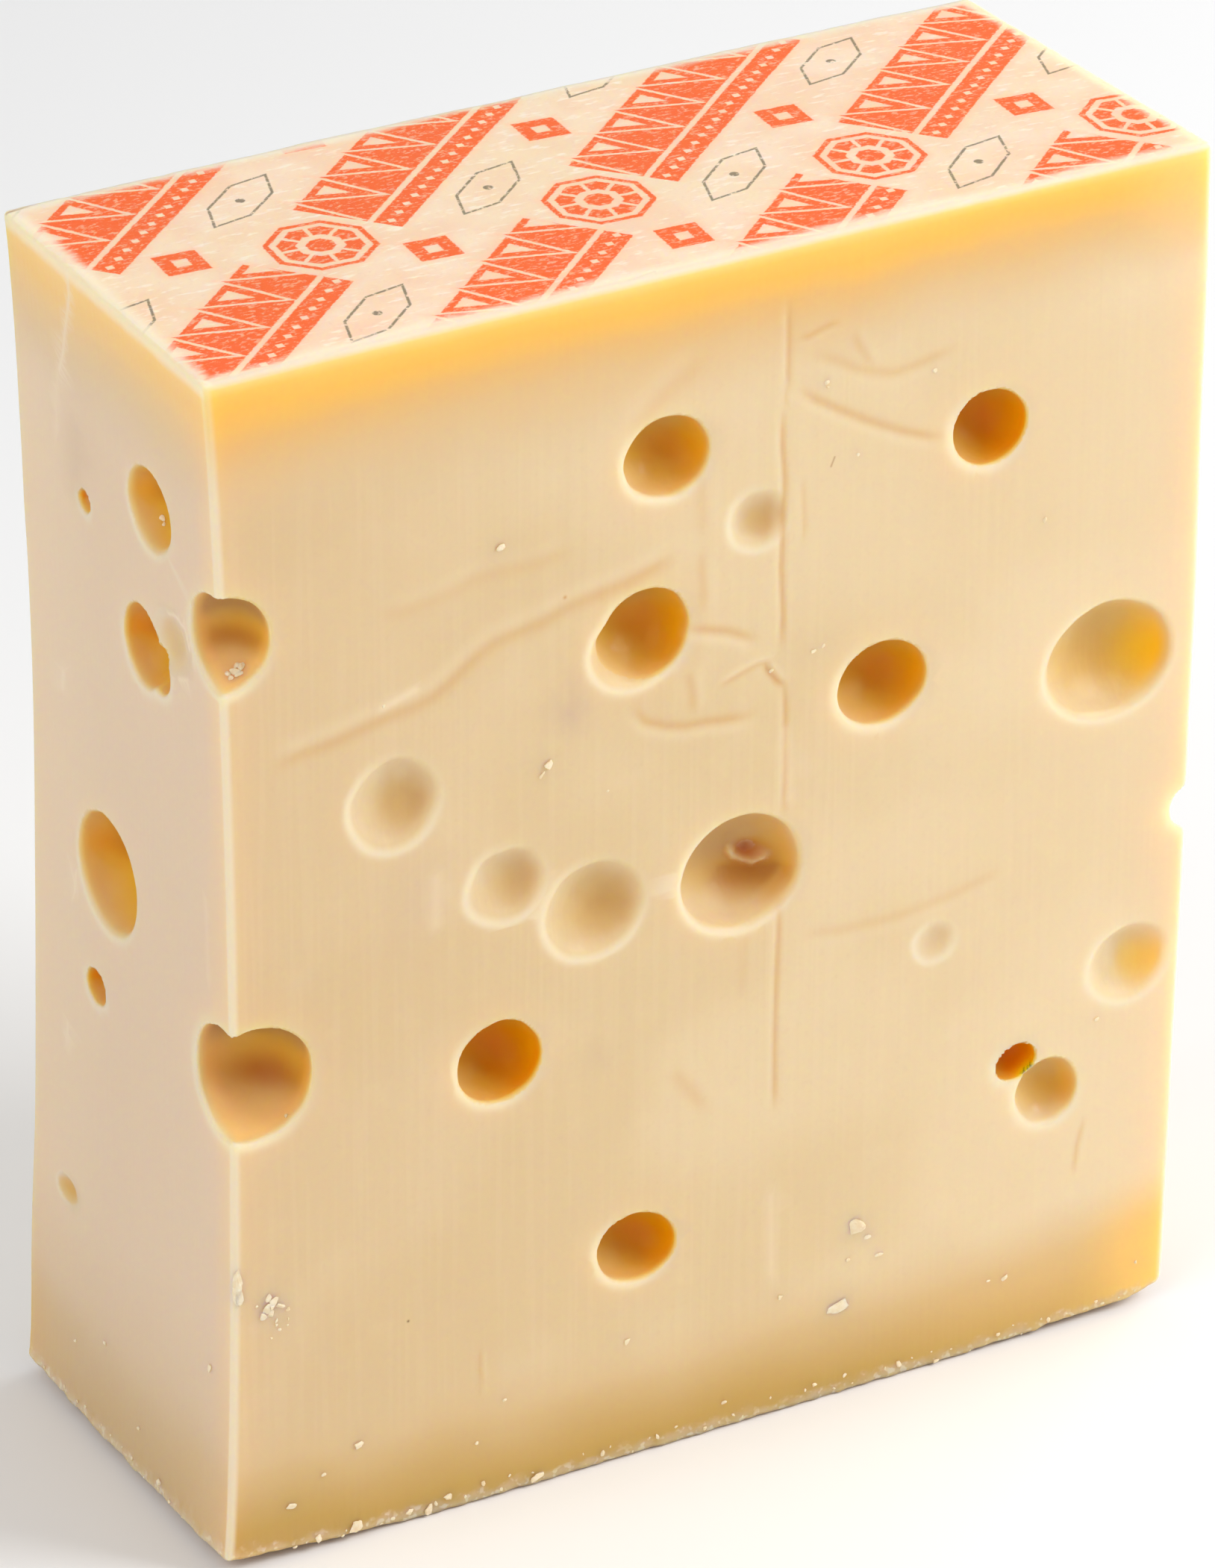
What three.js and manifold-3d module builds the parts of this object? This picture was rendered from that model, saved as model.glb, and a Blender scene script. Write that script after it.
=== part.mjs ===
// Block cut from a large wheel of hard cheese with round eyes.
//
// Millimetres, +Z up. The origin is the middle of the base on the surface the
// block stands on. The long cut face looks along -Y, the short cut face along
// -X. The top and the base are the two flat rinds of the wheel, the four sides
// are cut faces.

import * as THREE from 'three';
import { mergeVertices } from 'three/addons/utils/BufferGeometryUtils.js';
import Module from 'manifold-3d';

const wasm = await Module();
wasm.setup();

// ---------------------------------------------------------------- block sizes
const WIDTH = 170.0; // long cut face, along X
const DEPTH = 68.5; // short cut face, along Y
const RIND_TO_RIND = 202.3; // thickness of the wheel, along Z
const EDGE_RADIUS = 1.4; // knife-cut edges and rind edges
const SHIFT_X = -0.5; // puts the middle of the whole block at X = 0
const SHIFT_Y = -0.65; // and at Y = 0

// Steps across the faces between the rounded edges.
const STEPS_X = 9;
const STEPS_Y = 4;
const STEPS_Z = 12;

// How far each corner of the block lies from a true box: [dx, dy, dz].
const CORNERS = {
  leftFrontBase: [-0.2, 0, 0.0],
  rightFrontBase: [0.2, 0, -0.5],
  leftBackBase: [-0.6, 0.8, 0.2],
  rightBackBase: [-0.7, 0.2, 0.2],
  leftFrontTop: [-0.6, 0, -0.3],
  rightFrontTop: [0.9, 0, 1.5],
  leftBackTop: [0, -1.5, 0.7],
  rightBackTop: [-1.5, -1.1, 1.1],
};

// Cut faces: the short face is drawn in at mid-height, the opposite one swells
// a little, and the back is slightly hollow above and flared below.
const LEFT_HOLLOW = 2.7;
const RIGHT_SWELL = 0.8;
const BACK_HOLLOW = { depth: 1.3, at: 0.63, spread: 0.2 };
const BACK_FLARE = { depth: 0.8, at: 0.12, spread: 0.09 };

// Rinds: a low crown on top, and a base that is flat in the middle and curves
// up towards the two short ends, sagging again in the middle of the left one.
const TOP_CROWN = 0.6;
const BASE_SAG = 0.7;
const BASE_LIFT_LEFT = { reach: 38, rise: 2.3 };
const BASE_LIFT_RIGHT = { reach: 42, rise: 2.3 };

// ------------------------------------------------------------------ eye sizes
// On the long faces an eye is [x, z, half width, half height, depth, tilt in
// degrees], on the short faces [y, z, ...]. x is measured from the left end of
// the block, y from the front face, z from the line of the base corners, 2.3
// above the surface the block stands on.
const EYE_DATUM_Z = 2.3;

const FRONT_EYES = [
  [76.1, 170.8, 7.1, 6.5, 7.0, 0],
  [132.2, 162.9, 6.3, 6.2, 8.5, 0],
  [91.8, 157.0, 4.6, 4.5, 1.6, 0],
  [72.0, 142.0, 8.2, 7.5, 8.5, 12],
  [114.2, 123.9, 7.7, 7.1, 8.5, 10],
  [155.3, 117.5, 11.5, 9.9, 6.6, -4],
  [30.0, 124.5, 7.0, 7.5, 2.6, 12],
  [48.9, 106.0, 6.3, 6.0, 2.2, 0],
  [64.0, 98.0, 8.4, 7.9, 3.4, 0],
  [89.8, 97.4, 10.3, 9.8, 8.2, 0],
  [47.8, 75.6, 7.0, 6.7, 9.5, -20],
  [71.8, 36.0, 6.8, 5.9, 7.8, -10],
  [125.0, 76.0, 3.1, 3.0, 0.9, 0],
  [161.3, 62.5, 7.2, 6.6, 3.0, 0],
  [140.6, 49.9, 3.6, 2.9, 5.5, 15],
  [146.6, 43.0, 5.7, 5.9, 4.2, 20],
];

const LEFT_EYES = [
  [44.2, 162.1, 1.8, 1.7, 1.8, 0],
  [21.6, 170.5, 6.8, 6.5, 5.0, 0],
  [26.3, 145.9, 5.7, 6.7, 6.0, 0],
  [21.0, 144.6, 3.7, 4.0, 4.8, 0],
  [16.0, 151.3, 5.0, 4.2, 1.2, 0],
  [41.0, 100.4, 9.8, 9.8, 7.5, 0],
  [45.9, 78.4, 3.1, 2.9, 3.8, 0],
  [56.3, 37.4, 2.7, 1.7, 0.8, 0],
];

const RIGHT_EYES = [
  [33.0, 166.0, 7.4, 6.8, 6.5, 0],
  [56.0, 148.0, 5.6, 5.9, 3.0, 0],
  [20.0, 132.0, 5.2, 5.4, 6.5, 0],
  [45.0, 112.0, 9.2, 8.6, 6.8, 15],
  [58.0, 78.0, 4.2, 4.4, 2.0, 0],
  [29.0, 62.0, 7.0, 7.3, 8.0, 0],
  [50.0, 36.0, 6.0, 5.6, 3.2, 0],
];

const BACK_EYES = [
  [20.0, 168.0, 6.4, 6.2, 6.5, 0],
  [58.0, 176.0, 5.0, 4.8, 2.2, 0],
  [104.0, 166.0, 8.2, 7.6, 8.0, 10],
  [146.0, 172.0, 6.0, 6.2, 3.0, 0],
  [38.0, 141.0, 8.6, 8.0, 5.2, -10],
  [80.0, 136.0, 5.8, 6.0, 7.4, 0],
  [124.0, 140.0, 4.4, 4.6, 1.8, 0],
  [153.0, 128.0, 7.0, 6.8, 7.0, 0],
  [18.0, 104.0, 5.2, 5.2, 2.4, 0],
  [60.0, 98.0, 9.6, 9.0, 6.0, 8],
  [101.0, 104.0, 7.2, 7.0, 3.0, 0],
  [136.0, 90.0, 9.4, 9.2, 7.4, 0],
  [32.0, 66.0, 7.0, 6.6, 8.0, 0],
  [88.0, 62.0, 6.2, 6.4, 2.6, 0],
  [118.0, 48.0, 6.8, 6.2, 6.8, 0],
  [152.0, 52.0, 5.2, 5.0, 2.2, 0],
  [58.0, 34.0, 5.4, 5.2, 5.5, 0],
  [22.0, 30.0, 3.0, 2.8, 1.0, 0],
];

// Eyes opened by an upright edge, and the small one inside the wall of another:
// [x, y, z, radius], measured like the ones above.
const EDGE_EYES = [
  [2.1, 1.3, 157.2, 7.9],
  [6.0, 2.7, 82.9, 10.0],
  [172.1, 4.3, 88.1, 5.6],
  [94.9, 6.2, 96.7, 2.2],
];

// Facets of an eye: up to this half width, so many sides round its mouth and
// so many steps down to the bottom.
const FACETS = [
  { upTo: 3.5, sides: 10, steps: 2 },
  { upTo: 7.5, sides: 14, steps: 3 },
  { upTo: 20, sides: 16, steps: 4 },
];

// --------------------------------------------------------------- block shape
const mix = (a, b, t) => a + (b - a) * t;
const clamp01 = (t) => Math.min(1, Math.max(0, t));
const hump = (t, { depth, at, spread }) => depth * Math.exp(-(((t - at) / spread) ** 2));
const belly = (v) => Math.pow(Math.sin(Math.PI * clamp01(v)), 0.6);

function lift(distanceFromEnd, { reach, rise }) {
  return rise * Math.pow(clamp01(1 - distanceFromEnd / reach), 1.35);
}

// How far a point of the true box moves, with u, w, v its fractions along
// X, Y and Z.
function offset(u, w, v) {
  const c = CORNERS;
  const d = [0, 1, 2].map((i) =>
    mix(
      mix(
        mix(c.leftFrontBase[i], c.rightFrontBase[i], u),
        mix(c.leftBackBase[i], c.rightBackBase[i], u),
        w
      ),
      mix(
        mix(c.leftFrontTop[i], c.rightFrontTop[i], u),
        mix(c.leftBackTop[i], c.rightBackTop[i], u),
        w
      ),
      v
    )
  );
  d[0] += LEFT_HOLLOW * belly(v) * (1 - u) + RIGHT_SWELL * belly(v) * u;
  d[1] += (hump(v, BACK_FLARE) - hump(v, BACK_HOLLOW)) * w;
  d[2] += TOP_CROWN * (1 - (2 * u - 1) ** 4) * (1 - 0.5 * (2 * w - 1) ** 2) * v;
  return d;
}

// The base is at EYE_DATUM_Z at the short ends and at zero on its flat middle.
function baseZ(u, w) {
  const left = lift(u * WIDTH, BASE_LIFT_LEFT);
  const ends = left + lift((1 - u) * WIDTH, BASE_LIFT_RIGHT);
  const corner = offset(u, w, 0)[2];
  const share = clamp01(ends / EYE_DATUM_Z);
  const sag = BASE_SAG * 4 * w * (1 - w) * (left / BASE_LIFT_LEFT.rise);
  return ends + corner * share - sag;
}

// A point given as fractions of the block, in the block's own frame.
function place(u, w, v) {
  const d = offset(u, w, v);
  return new THREE.Vector3(
    u * WIDTH - WIDTH / 2 + d[0] + SHIFT_X,
    w * DEPTH - DEPTH / 2 + d[1] + SHIFT_Y,
    (RIND_TO_RIND + d[2]) * v + baseZ(u, w) * Math.pow(1 - clamp01(v), 2)
  );
}

// Spacing of the vertex rows: two rows turn each rounded edge through 45
// degrees, the rest are even.
function ticks(length, steps, radius) {
  const rows = [0, radius * (1 - Math.tan(Math.PI / 8)), radius];
  const out = [...rows];
  for (let i = 1; i < steps; i++) out.push(mix(radius, length - radius, i / steps));
  out.push(...rows.reverse().map((t) => length - t));
  return out;
}

function blockGeometry() {
  const size = [WIDTH, DEPTH, RIND_TO_RIND];
  const rows = [
    ticks(WIDTH, STEPS_X, EDGE_RADIUS),
    ticks(DEPTH, STEPS_Y, EDGE_RADIUS),
    ticks(RIND_TO_RIND, STEPS_Z, EDGE_RADIUS),
  ];
  const g = new THREE.BoxGeometry(1, 1, 1, ...rows.map((r) => r.length - 1));
  const p = g.attributes.position;
  for (let i = 0; i < p.count; i++) {
    const raw = [p.getX(i), p.getY(i), p.getZ(i)];
    const box = raw.map((t, k) => rows[k][Math.round((t + 0.5) * (rows[k].length - 1))]);
    const core = box.map((t, k) => Math.min(size[k] - EDGE_RADIUS, Math.max(EDGE_RADIUS, t)));
    const out = new THREE.Vector3(...box.map((t, k) => t - core[k]));
    out.setLength(EDGE_RADIUS);
    const q = core.map((t, k) => t + out.getComponent(k));
    const v = place(q[0] / WIDTH, q[1] / DEPTH, q[2] / RIND_TO_RIND);
    p.setXYZ(i, v.x, v.y, v.z);
  }
  return g;
}

// ----------------------------------------------------------------- eye shape
// A body of revolution round +Y: the bowl below y = 0, carried on a little
// above it, so that it opens the face it is set in.
function bowl(halfWidth, halfHeight, depth) {
  const mean = Math.sqrt(halfWidth * halfHeight);
  const { sides, steps } = FACETS.find((f) => mean <= f.upTo);
  const radius = (mean * mean + depth * depth) / (2 * depth);
  const centre = radius - depth; // height of the ball's centre over the face
  const above = 1.2;
  const mouth = Math.acos(THREE.MathUtils.clamp(centre / radius, -1, 1));
  const points = [];
  for (let i = 0; i <= steps; i++) {
    const t = (mouth * i) / steps;
    points.push(new THREE.Vector2(radius * Math.sin(t), centre - radius * Math.cos(t)));
  }
  points[0].x = 0;
  const last = points[steps];
  const slope = Math.cos(mouth) / Math.max(0.35, Math.abs(Math.sin(mouth)));
  const wide = Math.max(last.x * 0.7, last.x + above * THREE.MathUtils.clamp(slope, -0.6, 2.2));
  points.push(new THREE.Vector2(wide, above), new THREE.Vector2(0, above));
  const g = new THREE.LatheGeometry(points, sides);
  g.scale(halfWidth / mean, 1, halfHeight / mean);
  return g;
}

// Turns a bowl to open along the outward normal, with its half height upright.
function setIn(geometry, at, normal, tilt) {
  const up = new THREE.Vector3(0, 0, 1);
  const side = new THREE.Vector3().crossVectors(normal, up);
  const basis = new THREE.Matrix4().makeBasis(side, normal, up);
  geometry.rotateY(THREE.MathUtils.degToRad(tilt));
  geometry.applyMatrix4(basis);
  geometry.translate(at.x, at.y, at.z);
  return geometry;
}

const faces = [
  { eyes: FRONT_EYES, at: (s, v) => place(s / WIDTH, 0, v), normal: new THREE.Vector3(0, -1, 0) },
  { eyes: BACK_EYES, at: (s, v) => place(s / WIDTH, 1, v), normal: new THREE.Vector3(0, 1, 0) },
  { eyes: LEFT_EYES, at: (s, v) => place(0, s / DEPTH, v), normal: new THREE.Vector3(-1, 0, 0) },
  { eyes: RIGHT_EYES, at: (s, v) => place(1, s / DEPTH, v), normal: new THREE.Vector3(1, 0, 0) },
];

function eyeBodies() {
  const bodies = [];
  for (const face of faces) {
    for (const [s, z, halfWidth, halfHeight, depth, tilt] of face.eyes) {
      const height = z + EYE_DATUM_Z;
      const at = face.at(s, height / RIND_TO_RIND);
      // The face gives the distance out; the eye keeps its own place on it.
      at.z = height;
      if (face.normal.x === 0) at.x = s - WIDTH / 2 + SHIFT_X;
      else at.y = s - DEPTH / 2 + SHIFT_Y;
      bodies.push(setIn(bowl(halfWidth, halfHeight, depth), at, face.normal, tilt));
    }
  }
  for (const [x, y, z, radius] of EDGE_EYES) {
    const g = new THREE.IcosahedronGeometry(radius, radius > 4 ? 3 : 1);
    g.translate(x - WIDTH / 2 + SHIFT_X, y - DEPTH / 2 + SHIFT_Y, z + EYE_DATUM_Z);
    bodies.push(g);
  }
  return bodies;
}

// ------------------------------------------------------------------ solids
function solid(geometry) {
  const g = geometry.clone();
  g.deleteAttribute('normal');
  g.deleteAttribute('uv');
  const merged = mergeVertices(g, 1e-4);
  // Triangles that closed up on the axis are dropped.
  const index = [];
  const src = merged.index.array;
  for (let i = 0; i < src.length; i += 3) {
    const [a, b, c] = [src[i], src[i + 1], src[i + 2]];
    if (a !== b && b !== c && c !== a) index.push(a, b, c);
  }
  return new wasm.Manifold(
    new wasm.Mesh({
      numProp: 3,
      vertProperties: new Float32Array(merged.attributes.position.array),
      triVerts: new Uint32Array(index),
    })
  );
}

let block = solid(blockGeometry());
for (const body of eyeBodies()) block = block.subtract(solid(body));

const mesh = block.getMesh();
const geometry = new THREE.BufferGeometry();
geometry.setAttribute('position', new THREE.BufferAttribute(mesh.vertProperties, 3));
geometry.setIndex(new THREE.BufferAttribute(mesh.triVerts, 1));
geometry.computeVertexNormals();

const paste = new THREE.MeshStandardMaterial({
  color: 0xeed8ac,
  roughness: 0.55,
  metalness: 0,
});

const cheese = new THREE.Mesh(geometry, paste);
cheese.name = 'cheese_block';

const group = new THREE.Group();
group.add(cheese);

export default group;
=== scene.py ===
import math
import time

import bmesh
import bpy
import numpy as np
from mathutils import Matrix


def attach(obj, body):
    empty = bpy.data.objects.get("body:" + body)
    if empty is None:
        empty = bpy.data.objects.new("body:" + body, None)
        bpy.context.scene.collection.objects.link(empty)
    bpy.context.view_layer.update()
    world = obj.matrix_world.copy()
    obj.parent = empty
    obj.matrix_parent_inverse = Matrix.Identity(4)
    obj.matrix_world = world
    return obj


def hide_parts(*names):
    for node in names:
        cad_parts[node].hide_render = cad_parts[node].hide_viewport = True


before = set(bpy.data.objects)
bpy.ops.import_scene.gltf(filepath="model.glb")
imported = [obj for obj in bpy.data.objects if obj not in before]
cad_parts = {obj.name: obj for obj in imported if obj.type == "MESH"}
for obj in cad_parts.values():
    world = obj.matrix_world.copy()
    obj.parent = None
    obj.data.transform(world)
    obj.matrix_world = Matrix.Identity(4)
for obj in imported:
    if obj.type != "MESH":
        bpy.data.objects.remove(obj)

T0 = time.perf_counter()
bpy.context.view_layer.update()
MM = 0.001

# =============================================================================
# The block, in millimetres, as the CAD part has it
# =============================================================================
WIDTH, DEPTH, RIND = 170.0, 68.5, 202.3
SHIFT_X, SHIFT_Y = -0.5, -0.65
DATUM = 2.3
LEFT_HOLLOW, RIGHT_SWELL, TOP_CROWN, BASE_SAG = 2.7, 0.8, 0.6, 0.7
CORNER = {  # (left/right, front/back, base/top): dx, dy, dz
    (0, 0, 0): (-0.2, 0, 0.0), (1, 0, 0): (0.2, 0, -0.5),
    (0, 1, 0): (-0.6, 0.8, 0.2), (1, 1, 0): (-0.7, 0.2, 0.2),
    (0, 0, 1): (-0.6, 0, -0.3), (1, 0, 1): (0.9, 0, 1.5),
    (0, 1, 1): (0, -1.5, 0.7), (1, 1, 1): (-1.5, -1.1, 1.1),
}

# Eyes: along the face, height over the datum, half width, half height, depth,
# tilt in degrees, rim radius. Front and back are measured from the left end,
# left and right from the front.
FRONT_EYES = [
    (76.1, 170.8, 7.1, 6.5, 7.0, 0, 0.7),
    (132.2, 162.9, 6.3, 6.2, 8.5, 0, 0.5),
    (91.8, 157.0, 4.6, 4.5, 1.6, 0, 0.7),
    (72.6, 142.3, 7.6, 7.4, 8.5, 12, 0.6),
    (70.6, 140.6, 7.0, 6.6, 3.4, 12, 0.7),
    (114.2, 123.9, 7.7, 7.1, 8.5, 10, 0.6),
    (155.3, 117.5, 11.5, 9.9, 6.6, -4, 0.9),
    (30.0, 124.5, 7.0, 7.5, 2.6, 12, 0.6),
    (48.9, 106.0, 6.3, 6.0, 2.2, 0, 0.6),
    (64.0, 98.0, 8.4, 7.9, 3.4, 0, 0.6),
    (89.8, 97.4, 10.3, 9.8, 8.2, 0, 0.9),
    (47.8, 75.6, 7.0, 6.7, 9.5, -20, 0.6),
    (71.8, 36.0, 6.8, 5.9, 7.8, -10, 0.6),
    (125.0, 76.0, 3.1, 3.0, 0.9, 0, 0.7),
    (161.3, 62.5, 7.2, 6.6, 3.0, 0, 0.7),
    (140.6, 49.9, 3.6, 2.9, 5.5, 15, 0.3),
    (146.6, 43.0, 5.7, 5.9, 4.2, 20, 0.5),
]
WIDE_EYE = (89.8, 97.4, 10.3, 9.8, 8.2, 0, 0.9)  # the one with a crater in its wall
LEFT_EYES = [
    (44.2, 162.1, 1.8, 1.7, 1.8, 0, 0.3),
    (21.6, 170.5, 6.8, 6.5, 5.0, 0, 0.8),
    (26.3, 145.9, 5.7, 6.7, 6.0, 0, 0.6),
    (21.0, 144.6, 3.7, 4.0, 4.8, 0, 0.6),
    (16.0, 151.3, 5.0, 4.2, 1.2, 0, 0.7),
    (41.0, 100.4, 9.8, 9.8, 7.5, 0, 0.8),
    (45.9, 78.4, 3.1, 2.9, 3.8, 0, 0.4),
    (56.3, 37.4, 2.7, 1.7, 0.8, 0, 0.8),
]
RIGHT_EYES = [
    (33.0, 166.0, 7.4, 6.8, 6.5, 0, 0.7),
    (56.0, 148.0, 5.6, 5.9, 3.0, 0, 1.2),
    (20.0, 132.0, 5.2, 5.4, 6.5, 0, 0.6),
    (45.0, 112.0, 9.2, 8.6, 6.8, 15, 0.9),
    (58.0, 78.0, 4.2, 4.4, 2.0, 0, 1.4),
    (29.0, 62.0, 7.0, 7.3, 8.0, 0, 0.6),
    (50.0, 36.0, 6.0, 5.6, 3.2, 0, 1.2),
]
BACK_EYES = [
    (20.0, 168.0, 6.4, 6.2, 6.5, 0, 0.7),
    (58.0, 176.0, 5.0, 4.8, 2.2, 0, 1.4),
    (104.0, 166.0, 8.2, 7.6, 8.0, 10, 0.7),
    (146.0, 172.0, 6.0, 6.2, 3.0, 0, 1.3),
    (38.0, 141.0, 8.6, 8.0, 5.2, -10, 0.9),
    (80.0, 136.0, 5.8, 6.0, 7.4, 0, 0.6),
    (124.0, 140.0, 4.4, 4.6, 1.8, 0, 1.5),
    (153.0, 128.0, 7.0, 6.8, 7.0, 0, 0.7),
    (18.0, 104.0, 5.2, 5.2, 2.4, 0, 1.4),
    (60.0, 98.0, 9.6, 9.0, 6.0, 8, 0.9),
    (101.0, 104.0, 7.2, 7.0, 3.0, 0, 1.5),
    (136.0, 90.0, 9.4, 9.2, 7.4, 0, 0.8),
    (32.0, 66.0, 7.0, 6.6, 8.0, 0, 0.6),
    (88.0, 62.0, 6.2, 6.4, 2.6, 0, 1.5),
    (118.0, 48.0, 6.8, 6.2, 6.8, 0, 0.7),
    (152.0, 52.0, 5.2, 5.0, 2.2, 0, 1.4),
    (58.0, 34.0, 5.4, 5.2, 5.5, 0, 0.7),
    (22.0, 30.0, 3.0, 2.8, 1.0, 0, 1.4),
]
EDGE_EYES = [  # x, y, z, radius, rim radius
    (2.1, 1.3, 157.2, 7.9, 0.6),
    (6.0, 2.7, 82.9, 10.0, 0.6),
    (172.1, 4.3, 88.1, 5.6, 0.6),
]


# =============================================================================
# Noise
# =============================================================================
RNG = np.random.default_rng(41)
LATTICE = RNG.random((64, 64, 64), dtype=np.float32) * 2 - 1


def noise(p, scale, shift=0.0):
    """Smooth value noise from -1 to 1, with features about scale mm apart."""
    q = p / np.float32(scale) + np.float32(17.3 + shift * 7.77)
    i = np.floor(q).astype(np.int32)
    t = (q - i).astype(np.float32)
    t = t * t * (3 - 2 * t)
    i0, i1 = i & 63, (i + 1) & 63
    x0, y0, z0 = i0[:, 0], i0[:, 1], i0[:, 2]
    x1, y1, z1 = i1[:, 0], i1[:, 1], i1[:, 2]
    tx, ty, tz = t[:, 0], t[:, 1], t[:, 2]
    L = LATTICE
    a = L[x0, y0, z0] * (1 - tx) + L[x1, y0, z0] * tx
    b = L[x0, y1, z0] * (1 - tx) + L[x1, y1, z0] * tx
    c = L[x0, y0, z1] * (1 - tx) + L[x1, y0, z1] * tx
    d = L[x0, y1, z1] * (1 - tx) + L[x1, y1, z1] * tx
    return (a * (1 - ty) + b * ty) * (1 - tz) + (c * (1 - ty) + d * ty) * tz


def step(a, b, x):
    t = np.clip((x - a) / (b - a), 0, 1)
    return t * t * (3 - 2 * t)


# =============================================================================
# The block as a distance field
# =============================================================================
def offset(u, w, v):
    d = []
    for k in range(3):
        c = {key: value[k] for key, value in CORNER.items()}
        low = (c[0, 0, 0] * (1 - u) + c[1, 0, 0] * u) * (1 - w) + (c[0, 1, 0] * (1 - u) + c[1, 1, 0] * u) * w
        high = (c[0, 0, 1] * (1 - u) + c[1, 0, 1] * u) * (1 - w) + (c[0, 1, 1] * (1 - u) + c[1, 1, 1] * u) * w
        d.append(low * (1 - v) + high * v)
    belly = np.maximum(np.sin(np.pi * np.clip(v, 0, 1)), 0) ** 0.6
    d[0] = d[0] + LEFT_HOLLOW * belly * (1 - u) + RIGHT_SWELL * belly * u
    d[1] = d[1] + (0.8 * np.exp(-(((v - 0.12) / 0.09) ** 2)) - 1.3 * np.exp(-(((v - 0.63) / 0.2) ** 2))) * w
    d[2] = d[2] + TOP_CROWN * (1 - (2 * u - 1) ** 4) * (1 - 0.5 * (2 * w - 1) ** 2) * v
    return d


def base_z(u, w):
    left = np.clip(1 - u * WIDTH / 38, 0, 1) ** 1.35
    ends = 2.3 * left + 2.3 * np.clip(1 - (1 - u) * WIDTH / 42, 0, 1) ** 1.35
    return ends + offset(u, w, 0 * u)[2] * np.clip(ends / DATUM, 0, 1) - BASE_SAG * 4 * w * (1 - w) * left


def place(u, w, v):
    d = offset(u, w, v)
    return np.stack([
        u * WIDTH - WIDTH / 2 + d[0] + SHIFT_X,
        w * DEPTH - DEPTH / 2 + d[1] + SHIFT_Y,
        (RIND + d[2]) * v + base_z(u, w) * (1 - np.clip(v, 0, 1)) ** 2,
    ], -1)


def unbend(p):
    """Where a point lies in the straight box from 0 to WIDTH, DEPTH, RIND."""
    x0 = p[:, 0] + WIDTH / 2 - SHIFT_X
    y0 = p[:, 1] + DEPTH / 2 - SHIFT_Y
    z0 = p[:, 2]
    qx, qy, qz = x0, y0, z0
    for _ in range(3):
        u = np.clip(qx / WIDTH, 0, 1)
        w = np.clip(qy / DEPTH, 0, 1)
        v = np.clip(qz / RIND, 0, 1)
        d = offset(u, w, v)
        qx = x0 - d[0]
        qy = y0 - d[1]
        qz = (z0 - base_z(u, w) * (1 - v) ** 2) * (RIND / (RIND + d[2]))
    return np.stack([qx, qy, qz], -1).astype(np.float32)


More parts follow.
